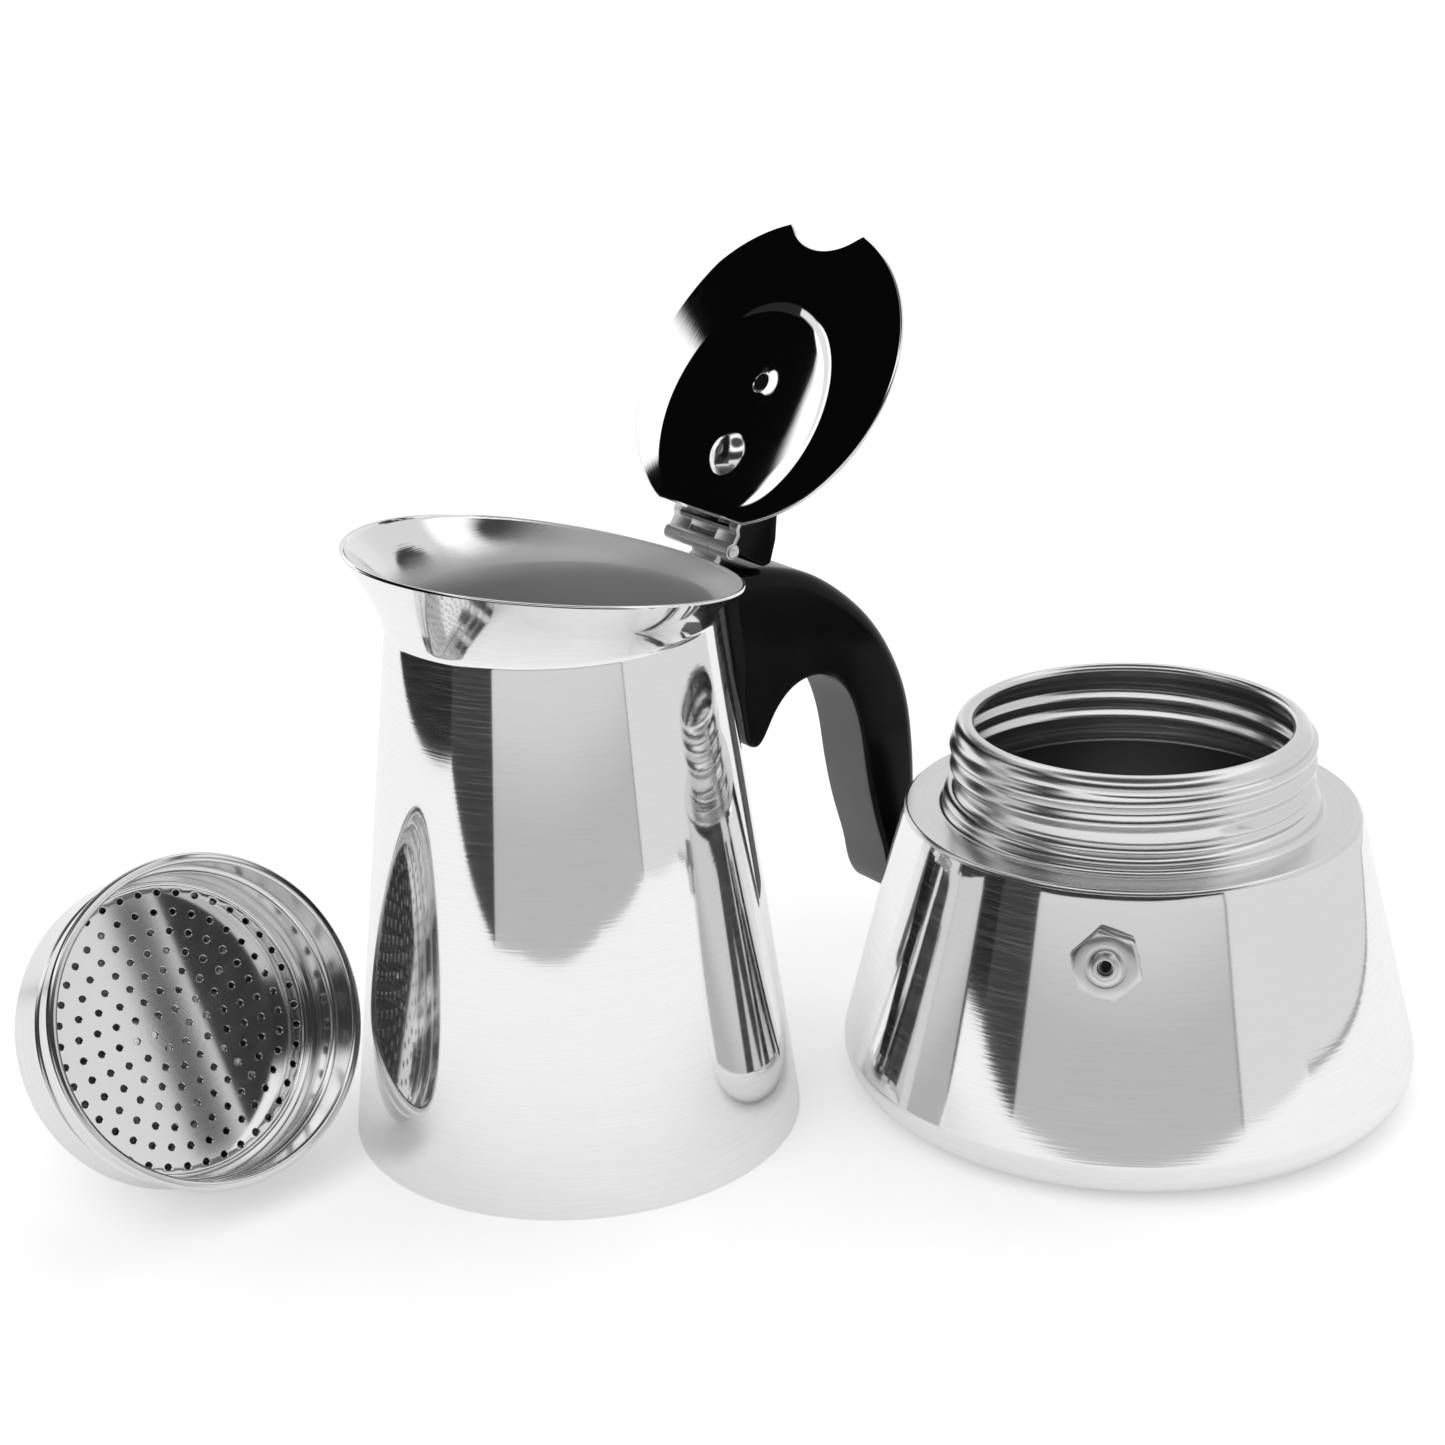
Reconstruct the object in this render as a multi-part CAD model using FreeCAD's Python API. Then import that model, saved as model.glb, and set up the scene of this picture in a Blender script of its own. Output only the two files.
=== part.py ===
"""Steel stove-top coffee maker taken apart: boiler, funnel and jug with its lid open.

Millimetres.  The origin is the centre of the boiler's foot on the table, +Z is up, +X runs
along the row from the funnel to the boiler, and +Y runs away from the front of the row.
"""
import FreeCAD
import Part

import os
from math import asin, atan2, cos, degrees, hypot, pi, radians, sin, sqrt

# ---- sheet thicknesses and clearances ---------------------------------------------------
SHEET = 0.8                 # boiler and jug wall
LID_SHEET = 0.8
FUNNEL_SHEET = 0.7
SLIP = 0.05                 # radial clearance of a sliding or turning fit
GAP = 0.3                   # gap between faces of groups that move past each other

# ---- boiler -----------------------------------------------------------------------------
FOOT_R = 47.6               # flat foot
BOILER_R = 54.5             # widest radius
BOILER_WIDE_Z = 9.1         # height of the widest radius
SHOULDER_R = 42.8           # crisp upper edge of the cone
SHOULDER_Z = 55.6
HEAT_DISC_T = 1.2           # disc under the foot
NECK_R = 33.0               # outside of the neck between the thread's turns
NECK_H = 17.6               # shoulder to the top of the rolled rim
NECK_STEP_R = NECK_R + 2.2  # rounded step round the foot of the neck
NECK_STEP_H = 4.0
RIM_ROLL_W = 3.55           # from the outside of the neck to the edge of the opening
MOUTH_R = NECK_R - RIM_ROLL_W
RIM_ROLL_H = 2.8
THREAD_PITCH = 3.7
THREAD_DEPTH = 1.0
THREAD_TURNS = 2.3
THREAD_START_H = 6.15       # first crest above the shoulder
THREAD_START_ANGLE = -75.0

# ---- safety valve -----------------------------------------------------------------------
VALVE_DROP = 11.5           # its axis on the cone, below the shoulder
VALVE_Z = SHOULDER_Z - VALVE_DROP
VALVE_ANGLE = -104.0
VALVE_HEX = 11.4            # across flats
VALVE_HEX_H = 3.0
VALVE_TURN = 14.0           # turn of the hexagon about its own axis
VALVE_STAND = 0.6           # gasket face above the cone
VALVE_BOSS_R = 2.5
VALVE_BOSS_H = 1.1
VALVE_HOLE_R = 1.35
VALVE_SHANK_R = 3.2
VALVE_SHANK_L = 9.4
VALVE_BORE_R = 2.1
VALVE_NUT = 9.6
VALVE_NUT_H = 2.6
VALVE_TRAVEL = 0.8

# ---- jug --------------------------------------------------------------------------------
JUG_Y = -7.5                # jug axis on the table; jug_x() gives the other coordinate
JUG_TURN = 35.5             # direction of the handle, from +X towards +Y
ROW_GAP = 0.47              # between the boiler and the nearest corner of the handle
JUG_R = 42.6                # outside radius at the bottom edge
CREASE_R = 30.0             # where the cone meets the flare
CREASE_Z = 99.4
FLARE_H = 10.8              # crease to rim, at the jug axis
FLARE_Z = CREASE_Z + FLARE_H
FLARE_SLOPE = -0.16         # rim falls towards the handle
FLARE_BOW = -0.0012         # and bows down at both ends
FLARE_OUT = 6.75            # mean reach of the rim beyond the crease
RIM_MEAN_R = CREASE_R + FLARE_OUT
RIM_COS = (-1.45, -2.0, 0.02, 0.23)
SEAL_LAP = 2.2              # how far the neck's rim would pass the gasket's face
COLLAR_CLEAR = 0.3          # female thread outside the male crest
COLLAR_BITE = 0.6           # overlap of the two threads
COLLAR_T = 0.9
GASKET_T = 2.6
GASKET_W = 6.3
FLOOR_Z = NECK_H - SEAL_LAP + GASKET_T  # underside of the jug floor
FLOOR_T = 1.0
FILTER_T = 0.6
FILTER_PITCH = 4.4
COLUMN_FOOT_R = 9.0
COLUMN_TOP_R = 5.0
COLUMN_TOP_Z = 70.0
CAP_R = 6.2
CAP_H = 8.0

# ---- handle: its heights and reaches are counted from the jug's crease ---------------------
HANDLE_W = 17.0             # width at the root
TIP_W = 14.0                # width at the open end of the grip
HANDLE_EDGE = 3.2           # rounding of the long edges
BRACKET_W = 9.0
BRACKET_U = CREASE_R + 23.0 # outer end of the bracket, from the jug axis
BRACKET_TOP = CREASE_Z - 7.4
BRACKET_H = 10.0
SCREW_R = 1.8
SCREW_HEAD_R = 3.1
SCREW_HEAD_H = 2.0
WELL_L = 20.0               # the screw's head is reached through a well from below
SCREW_U = BRACKET_U - 4.5
SCREW_SEAT_Z = BRACKET_TOP - BRACKET_H - 2.0

# ---- hinge ------------------------------------------------------------------------------
PIN_U = RIM_MEAN_R + sum(RIM_COS) - 0.15  # the pin stands on the rim's edge
PIN_Z = CREASE_Z + 7.1
PIN_R = 0.8
KNUCKLE_R = 1.5
HINGE_W = 20.0
MIDDLE_W = 8.0
LEAF_T = 0.8
OPEN_ANGLE = 57.4           # lid direction from the pin, above the handle direction

# ---- lid --------------------------------------------------------------------------------
PIN_W = 0.3 - PIN_U         # pin position from the lid centre, along the lid
LID_RW = CREASE_R + 0.6     # half length towards the spout
LID_RV = CREASE_R + 5.0     # half width
LID_CUT_W = PIN_W + 4.85    # straight edge at the hinge
NOTCH_R = 15.2              # spout notch
NOTCH_W = LID_RW - 5.7      # deepest point of the notch
RAISE = 1.0                 # height of the pressed centre
RAISE_R = 22.0
RAISE_W = LID_CUT_W + 20.75
LID_HOLE_W = PIN_W + 31.3
LID_HOLE_R = 1.85
LID_SCREW_W = PIN_W + 16.7
LID_SCREW_R = 1.9
LID_SCREW_HEAD_R = 4.3
LID_SCREW_HEAD_H = 2.5
LEAF_END_W = PIN_W + 21.6
KNOB_W = 16.0
KNOB_TOP = 14.0             # above the lid plane

# ---- funnel -----------------------------------------------------------------------------
FUNNEL_TURN = -49.0         # direction of the mouth
FUNNEL_WAY = -156.7         # direction in which its mouth's centre lies from the jug
BAND_CLEAR = 0.35           # radial clearance in the boiler's mouth
BAND_R = MOUTH_R - BAND_CLEAR
BAND_H = 20.8
BAND_CORNER = 2.5
BEAD_OUT = 1.2
BEAD_R = BAND_R + BEAD_OUT
BEAD_H = 1.7
GROOVE_Z = 12.8
GROOVE_DEPTH = 0.8
PLATE_Z = 3.2
HOLE_R = 0.63
HOLE_PITCH = 3.6
HOLE_MARGIN = 3.0           # plain border of the two perforated plates
STEM_R = 4.5
STEM_L = 49.4               # below the band's lower edge
CONE_H = 9.5
COLLAR_L = 5.0

V = FreeCAD.Vector
Z_AXIS = V(0, 0, 1)


# ---- helpers ----------------------------------------------------------------------------
def wire_rz(start, steps):
    """Closed wire in the XZ plane: each step is a point, or a mid point and an end point."""
    here = V(start[0], 0, start[1])
    first = here
    edges = []
    for step in steps:
        if len(step) == 2:
            end = V(step[0], 0, step[1])
            edges.append(Part.makeLine(here, end))
        else:
            mid = V(step[0], 0, step[1])
            end = V(step[2], 0, step[3])
            edges.append(Part.Arc(here, mid, end).toShape())
        here = end
    if here.distanceToPoint(first) > 1e-6:
        edges.append(Part.makeLine(here, first))
    return Part.Wire(edges)


def turned(start, steps):
    """Solid of revolution about Z from a profile of radius and height."""
    return Part.Face(wire_rz(start, steps)).revolve(V(0, 0, 0), Z_AXIS, 360)


def tube(r_out, r_in, z0, z1):
    outer = Part.makeCylinder(r_out, z1 - z0, V(0, 0, z0))
    return outer.cut(Part.makeCylinder(r_in, z1 - z0 + 2, V(0, 0, z0 - 1)))


def hexagon(flats, z0, height, turn=0.0):
    r = flats / sqrt(3)
    pts = [V(r * cos(radians(60 * k + turn)), r * sin(radians(60 * k + turn)), z0) for k in range(7)]
    return Part.Face(Part.makePolygon(pts)).extrude(V(0, 0, height))


def slab(points, half):
    """Closed outline in the XZ plane, given as points, pulled to both sides along Y."""
    pts = [V(x, -half, z) for x, z in points]
    pts.append(pts[0])
    return Part.Face(Part.makePolygon(pts)).extrude(V(0, 2 * half, 0))


def smooth(points, y=0.0):
    curve = Part.BSplineCurve()
    curve.interpolate([V(x, y, z) for x, z in points])
    return curve.toShape()


def helix_solid(r_root, r_crest, width, z0, turns, angle):
    """Rounded ridge wound on a cylinder: it sinks a little under r_root and peaks at r_crest."""
    helix = Part.makeHelix(THREAD_PITCH, THREAD_PITCH * turns, r_root)
    side = 1 if r_crest > r_root else -1
    edge = r_root - side * 0.15
    back = r_root - side * 0.5
    half = width / 2
    arc = Part.Arc(V(edge, 0, -half), V(r_crest, 0, 0), V(edge, 0, half)).toShape()
    legs = [Part.makeLine(V(edge, 0, half), V(back, 0, half)),
            Part.makeLine(V(back, 0, half), V(back, 0, -half)),
            Part.makeLine(V(back, 0, -half), V(edge, 0, -half))]
    ridge = Part.Wire(helix).makePipeShell([Part.Wire([arc] + legs)], True, True)
    ridge.rotate(V(0, 0, 0), Z_AXIS, angle)
    ridge.translate(V(0, 0, z0))
    return ridge


def holes(plate_r, pitch, r, z0, z1):
    """Round holes on rings, six more on each ring than on the one inside it."""
    out = []
    for ring in range(1, int((plate_r - HOLE_MARGIN) / pitch) + 1):
        for k in range(6 * ring):
            a = 2 * pi * (k + 0.5 * (ring % 2)) / (6 * ring)
            at = V(ring * pitch * cos(a), ring * pitch * sin(a), z0)
            out.append(Part.makeCylinder(r, z1 - z0, at))
    return Part.makeCompound(out)


def one_solid(shape):
    solids = shape.Solids
    return solids[0] if len(solids) == 1 else Part.makeCompound(solids)


def save(name, shape):
    shape = one_solid(shape)
    shape.exportStep("parts/" + name + ".step")
    print(name, len(shape.Solids), round(shape.Volume, 2), shape.isValid())


# ---- boiler -----------------------------------------------------------------------------
def boiler_r(z):
    return BOILER_R - (BOILER_R - SHOULDER_R) * (z - BOILER_WIDE_Z) / (SHOULDER_Z - BOILER_WIDE_Z)


def boiler_lean():
    return atan2(BOILER_R - SHOULDER_R, SHOULDER_Z - BOILER_WIDE_Z)


def bowl(shrink, z0, top):
    """Filled outline of the boiler, drawn in by the sheet thickness."""
    wall = shrink / cos(boiler_lean())
    reach = (top - SHOULDER_Z) * (BOILER_R - SHOULDER_R) / (SHOULDER_Z - BOILER_WIDE_Z)
    wide = BOILER_R - wall
    foot = FOOT_R - 0.6 * wall
    drop = BOILER_WIDE_Z - z0
    mid = (foot + (wide - foot) * 0.78, z0 + drop * 0.33)
    return turned((0, z0), [(foot, z0), (mid[0], mid[1], wide, BOILER_WIDE_Z),
                            (SHOULDER_R - wall - reach, top), (0, top)])


def boiler_shell():
    outer = bowl(0, HEAT_DISC_T, SHOULDER_Z)
    inner = bowl(SHEET, HEAT_DISC_T + SHEET, SHOULDER_Z + 2)
    return outer.cut(inner).cut(valve_hole())


def boiler_heat_disc():
    disc = Part.makeCylinder(FOOT_R, HEAT_DISC_T)
    return disc.makeChamfer(0.4, [e for e in disc.Edges if abs(e.BoundBox.ZMax) < 1e-6])


def neck_profile():
    z = SHOULDER_Z
    step = NECK_STEP_R
    top = z + NECK_H
    wall_in = NECK_R - SHEET
    roll = top - RIM_ROLL_H
    foot = z + NECK_STEP_H
    steps = [(SHOULDER_R - 0.35, z + SHEET - 0.35, SHOULDER_R - 0.5, z + SHEET),
             (step + 0.5, z + SHEET),
             (step, z + 0.6 * NECK_STEP_H),
             (step - 0.5, foot - 0.5, step - 1.6, foot),
             (NECK_R + 0.15, foot + 0.5, NECK_R, foot + 1.8),
             (NECK_R, roll),
             (NECK_R - 0.1, roll + 1.3, NECK_R - 1.7, top),
             (MOUTH_R + 0.5, top - 0.1, MOUTH_R, top - 0.9),
             (MOUTH_R + 0.15, top - 1.6, MOUTH_R + 0.9, top - 1.7),
             (wall_in - 0.9, roll + 0.6, wall_in, roll - 0.4),
             (wall_in, foot + 1.4),
             (wall_in + 0.2, foot, step - 1.8, foot - SHEET),
             (step - SHEET, z + 0.5 * NECK_STEP_H, step - SHEET + 0.1, z)]
    return (SHOULDER_R, z), steps


def boiler_neck():
    start, steps = neck_profile()
    neck = turned(start, steps)
    width = THREAD_PITCH - 0.3
    crest = NECK_R + THREAD_DEPTH
    crest_z = SHOULDER_Z + THREAD_START_H
    ridge = helix_solid(NECK_R, crest, width, crest_z, THREAD_TURNS, THREAD_START_ANGLE)
    groove = helix_solid(NECK_R - SHEET, crest - SHEET, width - 0.4, crest_z, THREAD_TURNS,
                         THREAD_START_ANGLE)
    return neck.fuse(ridge).cut(groove)


# ---- safety valve, drawn along its own axis with the cone's face at zero ----------------
def valve_place(shape):
    lean = degrees(boiler_lean())
    shape.rotate(V(0, 0, 0), V(0, 1, 0), 90 - lean)
    shape.translate(V(boiler_r(VALVE_Z), 0, VALVE_Z))
    shape.rotate(V(0, 0, 0), Z_AXIS, VALVE_ANGLE)
    return shape


def valve_hole():
    return valve_place(Part.makeCylinder(VALVE_SHANK_R, 8, V(0, 0, -4)))


def valve_gasket():
    ring = valve_place(tube(VALVE_HEX / 2, VALVE_SHANK_R, -2, VALVE_STAND))
    return ring.cut(bowl(0, HEAT_DISC_T, SHOULDER_Z))


def valve_washer_depth():
    return -SHEET - 1.6


def valve_washer():
    ring = valve_place(tube(VALVE_NUT / 2, VALVE_SHANK_R, valve_washer_depth(), 0))
    return ring.common(bowl(SHEET, HEAT_DISC_T + SHEET, SHOULDER_Z + 2))


def valve_body():
    z = VALVE_STAND
    top = z + VALVE_HEX_H
    head = hexagon(VALVE_HEX, z, VALVE_HEX_H, VALVE_TURN)
    corner = VALVE_HEX / sqrt(3)
    dome = turned((0, z), [(corner, z), (corner, top - 1.0), (VALVE_HEX / 2 - 0.3, top), (0, top)])
    boss = turned((0, top), [(VALVE_BOSS_R + 0.8, top),
                             (VALVE_BOSS_R - 0.3, top + 0.3, VALVE_BOSS_R - 0.5, top + VALVE_BOSS_H),
                             (0, top + VALVE_BOSS_H)])
    shank = Part.makeCylinder(VALVE_SHANK_R, VALVE_SHANK_L, V(0, 0, z - VALVE_SHANK_L))
    body = head.common(dome).fuse([boss, shank])
    bore = Part.makeCylinder(VALVE_BORE_R, VALVE_SHANK_L + VALVE_HEX_H - 1, V(0, 0, z - VALVE_SHANK_L))
    hole = Part.makeCylinder(VALVE_HOLE_R, 10, V(0, 0, top - 2))
    return valve_place(body.cut(bore).cut(hole))


def valve_nut():
    top = valve_washer_depth()
    nut = hexagon(VALVE_NUT, top - VALVE_NUT_H, VALVE_NUT_H, VALVE_TURN)
    return valve_place(nut.cut(Part.makeCylinder(VALVE_SHANK_R, 20, V(0, 0, -15))))


def valve_end():
    return VALVE_STAND - VALVE_SHANK_L


def valve_seat():
    return valve_place(tube(VALVE_SHANK_R, 1.0, valve_end() - 1.0, valve_end()))


def valve_plunger():
    disc = Part.makeCylinder(VALVE_BORE_R - SLIP, 1.3, V(0, 0, valve_end()))
    stem_top = VALVE_STAND + VALVE_HEX_H - 1.4
    stem = Part.makeCylinder(VALVE_HOLE_R - 0.5, stem_top - valve_end(), V(0, 0, valve_end()))
    return valve_place(disc.fuse(stem))


def valve_spring():
    low = valve_end() + 1.3 + VALVE_TRAVEL + SLIP
    high = VALVE_STAND + VALVE_HEX_H - 1
    return valve_place(tube(VALVE_BORE_R, VALVE_HOLE_R - 0.2, low, high))


# ---- jug, drawn about its own axis with the handle along +X ------------------------------
def jug_x():
    """The jug stands as near the boiler as the grip's lower corner and the two feet allow."""
    turn = radians(JUG_TURN)
    u, z = grip_tip()
    v = -half_width(u)
    corner_y = JUG_Y + u * sin(turn) + v * cos(turn)
    clear = boiler_r(z) + ROW_GAP
    by_grip = sqrt(max(clear * clear - corner_y * corner_y, 0)) + u * cos(turn) - v * sin(turn)
    feet = BOILER_R + JUG_R + ROW_GAP
    return -max(by_grip, sqrt(feet * feet - JUG_Y * JUG_Y))


def jug_place(shape):
    shape.rotate(V(0, 0, 0), Z_AXIS, JUG_TURN)
    shape.translate(V(jug_x(), JUG_Y, 0))
    return shape


def jug_r(z):
    return JUG_R + (CREASE_R - JUG_R) * z / CREASE_Z


def rim_r(a):
    return RIM_MEAN_R + sum(c * cos((k + 1) * a) for k, c in enumerate(RIM_COS))


def rim_z(u):
    return FLARE_Z + FLARE_SLOPE * u + FLARE_BOW * u * u


def flare_rise(u):
    """Height of the plane just above the rim, over the crease."""
    return FLARE_Z + 1.2 - CREASE_Z + FLARE_SLOPE * u


def flare_grow(t):
    return 0.55 * t + 0.45 * t * abs(t) ** 1.2


def flare_point(a, t, inset):
    edge = rim_r(a)
    full = (rim_z(edge * cos(a)) - CREASE_Z) / flare_rise(edge * cos(a))
    r = CREASE_R - inset + (edge - CREASE_R) * flare_grow(t / full)
    return V(r * cos(a), r * sin(a), CREASE_Z + t * flare_rise(r * cos(a)))


def flare_section(t, inset):
    curve = Part.BSplineCurve()
    pts = [flare_point(2 * pi * k / 24, t, inset) for k in range(24)]
    curve.interpolate(Points=pts, PeriodicFlag=True)
    return Part.Wire(curve.toShape())


def flare_solid(inset):
    levels = (-0.12, 0.0, 0.25, 0.5, 0.75, 1.0)
    return Part.makeLoft([flare_section(t, inset) for t in levels], True, False)


def jug_cone(inset, z0, z1):
    wall = inset / cos(atan2(JUG_R - CREASE_R, CREASE_Z))
    return Part.makeCone(jug_r(z0) - wall, jug_r(z1) - wall, z1 - z0, V(0, 0, z0))


def below_rim():
    """Everything under the rim's curved edge."""
    reach = RIM_MEAN_R + 23.0
    us = [reach - 2 * reach * k / 12 for k in range(13)]
    edge = smooth([(u, rim_z(u)) for u in us], -reach)
    start = V(reach, -reach, rim_z(reach))
    end = V(-reach, -reach, rim_z(-reach))
    low_end = V(-reach, -reach, -10)
    low_start = V(reach, -reach, -10)
    sides = [Part.makeLine(end, low_end), Part.makeLine(low_end, low_start), Part.makeLine(low_start, start)]
    return Part.Face(Part.Wire([edge] + sides)).extrude(V(0, 2 * reach, 0))


def jug_outline():
    return jug_cone(0, 0, CREASE_Z + 1).fuse(flare_solid(0)).common(below_rim())


def jug_body():
    inner = jug_cone(SHEET, -1, CREASE_Z + 1)
    return jug_outline().cut(inner).cut(flare_solid(SHEET * 1.12))


def jug_floor():
    z1 = FLOOR_Z + FLOOR_T
    disc = jug_cone(SHEET, FLOOR_Z, z1)
    return disc.cut(jug_column_outside())


def jug_column_outside():
    return Part.makeCone(COLUMN_FOOT_R, COLUMN_TOP_R, COLUMN_TOP_Z - FLOOR_Z, V(0, 0, FLOOR_Z))


def collar_r():
    return NECK_R + THREAD_DEPTH + COLLAR_CLEAR


def jug_collar():
    inner = collar_r()
    flange = jug_cone(SHEET, 0.6, 0.6 + COLLAR_T)
    ring = tube(inner + COLLAR_T, inner, 0.6, FLOOR_Z)
    collar = flange.cut(Part.makeCylinder(inner, 5)).fuse(ring)
    ridge = helix_solid(inner, inner - COLLAR_BITE - COLLAR_CLEAR, THREAD_PITCH - 1.2,
                        4.0, THREAD_TURNS, 0)
    return collar.fuse(ridge)


def filter_r():
    return collar_r() - GASKET_W


def jug_gasket():
    return tube(collar_r() - SLIP, filter_r(), FLOOR_Z - GASKET_T, FLOOR_Z)


def jug_filter_plate():
    z0 = FLOOR_Z - GASKET_T + 0.2
    plate = Part.makeCylinder(filter_r(), FILTER_T, V(0, 0, z0))
    return plate.cut(holes(filter_r(), FILTER_PITCH, 0.7, z0 - 1, z0 + FILTER_T + 1))


def column_tube():
    inner = Part.makeCone(COLUMN_FOOT_R - SHEET, COLUMN_TOP_R - SHEET, COLUMN_TOP_Z - FLOOR_Z + 0.02,
                          V(0, 0, FLOOR_Z - 0.01))
    return jug_column_outside().cut(inner)


def column_cap():
    z1 = COLUMN_TOP_Z + 4
    cap = Part.makeCylinder(CAP_R, CAP_H, V(0, 0, z1 - CAP_H))
    top = [e for e in cap.Edges if e.BoundBox.ZMin > z1 - 0.01]
    cap = cap.makeFillet(1.5, top)
    hollow = Part.makeCylinder(COLUMN_TOP_R - SHEET, 3.0, V(0, 0, COLUMN_TOP_Z - 0.01))
    port = Part.makeBox(30, 3.2, 2.0, V(-15, -1.6, COLUMN_TOP_Z + 0.4))
    return cap.cut(jug_column_outside()).cut(hollow).cut(port)


# ---- handle -----------------------------------------------------------------------------
GRIP = [(8.5, 1.6), (13.5, 1.3), (17.8, 0.3), (21.8, -1.0), (27.2, -3.7), (32.6, -7.6), (37.5, -12.1),
        (41.6, -17.1), (45.0, -22.8), (47.3, -28.0), (48.8, -33.2), (49.7, -39.0), (50.2, -45.9),
        (50.3, -53.4), (50.0, -60.9), (49.4, -67.4), (48.2, -72.5), (45.6, -74.2), (43.3, -72.2),
        (41.4, -65.4), (39.2, -57.4), (37.3, -49.4), (36.3, -43.4), (35.4, -37.2), (34.0, -31.6),
        (31.9, -27.0), (29.0, -24.0), (25.6, -22.5), (22.0, -22.3), (18.7, -23.3), (15.8, -25.3),
        (13.4, -28.2), (11.4, -31.4), (9.2, -33.2), (7.2, -32.2), (6.1, -28.4), (5.2, -23.0),
        (4.3, -16.4), (3.4, -9.9), (2.8, -4.8), (2.9, -1.5), (4.6, 0.8)]


def grip_inset(k):
    """Depth of the edge rounding at one outline point: less where the grip is thin."""
    out, up = GRIP[k]
    if up < -24.4 and out < 16.0:
        return 0.5 * HANDLE_EDGE
    if up < -69.4:
        return 0.75 * HANDLE_EDGE
    return HANDLE_EDGE


def grip_tip():
    """Lower inner corner of the grip's open end, from the jug's axis and the table."""
    out, up = min(GRIP, key=lambda point: point[1])
    return out + CREASE_R, up + CREASE_Z


def half_width(u):
    """The grip narrows evenly from its root to its open end."""
    root, end = 4.0, 50.0
    return HANDLE_W / 2 - (HANDLE_W - TIP_W) / 2 * (u - CREASE_R - root) / (end - root)


def grip_section(turn, side):
    """Outline at one level of the edge rounding: 90 is the flat side, 0 the full outline."""
    pts = []
    count = len(GRIP)
    for k, (out, up) in enumerate(GRIP):
        before = GRIP[k - 1]
        after = GRIP[(k + 1) % count]
        du, dz = after[0] - before[0], after[1] - before[1]
        size = hypot(du, dz)
        inset = grip_inset(k) * (1 - cos(radians(turn)))
        u2 = CREASE_R + out + inset * dz / size
        z2 = CREASE_Z + up - inset * du / size
        drop = HANDLE_EDGE * (1 - sin(radians(turn)))
        pts.append(V(u2, side * (half_width(u2) - drop), z2))
    curve = Part.BSplineCurve()
    curve.interpolate(Points=pts, PeriodicFlag=True)
    return Part.Wire(curve.toShape())


def handle_bar():
    turns = (90, 68, 45, 22, 0)
    near = [grip_section(t, -1) for t in turns]
    far = [grip_section(t, 1) for t in reversed(turns)]
    return Part.makeLoft(near + far, True, False)


def handle():
    bar = handle_bar()
    well = Part.makeCylinder(SCREW_HEAD_R + GAP, WELL_L, V(SCREW_U, 0, SCREW_SEAT_Z - WELL_L))
    return bar.cut(bracket_block()).cut(handle_screw()).cut(well)


def bracket_block():
    start = CREASE_R - 10.0
    corner = V(start, -BRACKET_W / 2, BRACKET_TOP - BRACKET_H)
    return Part.makeBox(BRACKET_U - start, BRACKET_W, BRACKET_H, corner)


def handle_bracket():
    return bracket_block().cut(jug_cone(0, 0, CREASE_Z)).cut(handle_screw())


def handle_screw():
    low = SCREW_SEAT_Z - SCREW_HEAD_H
    head = Part.makeCylinder(SCREW_HEAD_R, SCREW_HEAD_H, V(SCREW_U, 0, low))
    head = head.cut(Part.makeBox(2 * SCREW_HEAD_R, 0.8, 1.0, V(SCREW_U - SCREW_HEAD_R, -0.4, low)))
    shank = Part.makeCylinder(SCREW_R, BRACKET_TOP - 1 - SCREW_SEAT_Z, V(SCREW_U, 0, SCREW_SEAT_Z))
    return head.fuse(shank)


# ---- hinge ------------------------------------------------------------------------------
def along_v(r, v0, v1, u=PIN_U, z=PIN_Z):
    return Part.makeCylinder(r, v1 - v0, V(u, v0, z), V(0, 1, 0))


def hinge_pin():
    half = HINGE_W / 2
    pin = along_v(PIN_R, -half, half)
    heads = [along_v(KNUCKLE_R - 0.3, half, half + 0.4), along_v(KNUCKLE_R - 0.3, -half - 0.4, -half)]
    return pin.fuse(heads)


def hinge_lower_leaf():
    half = MIDDLE_W / 2 - SLIP
    out = PIN_U + KNUCKLE_R
    lap = FLARE_Z + FLARE_SLOPE * PIN_U
    foot = CREASE_Z - 3.4
    outline = [(out - LEAF_T, PIN_Z), (out, PIN_Z), (out, lap - 1.6), (CREASE_R + 1.5, CREASE_Z - 0.7),
               (jug_r(foot) + 0.9, foot), (CREASE_R - 2, foot), (CREASE_R - 2, CREASE_Z),
               (PIN_U - 0.8, lap - 1.9), (out - LEAF_T, lap - 0.9)]
    leaf = slab(outline, half).fuse(along_v(KNUCKLE_R, -half, half))
    return leaf.cut(along_v(PIN_R, -20, 20)).cut(jug_outline())


# ---- lid, drawn flat: X from its centre to the spout, Z out of the pot --------------------
SHEET_LOW = RAISE - LID_SHEET / 2
SHEET_TOP = RAISE + LID_SHEET / 2
PIN_N = SHEET_TOP + KNUCKLE_R


def lid_place(shape):
    """Swings the flat drawing up to the open lid, still in the jug's own axes."""
    shape.translate(V(-PIN_W, 0, -PIN_N))
    shape.rotate(V(0, 0, 0), Z_AXIS, 180)
    shape.rotate(V(0, 0, 0), V(0, 1, 0), 180 - OPEN_ANGLE)
    shape.translate(V(PIN_U, 0, PIN_Z))
    return shape


def oval(rw, rv, z0, z1):
    edge = Part.Ellipse(V(0, 0, z0), max(rw, rv), min(rw, rv)).toShape()
    face = Part.Face(Part.Wire(edge))
    if rv > rw:
        face.rotate(V(0, 0, 0), Z_AXIS, 90)
    return face.extrude(V(0, 0, z1 - z0))


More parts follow.
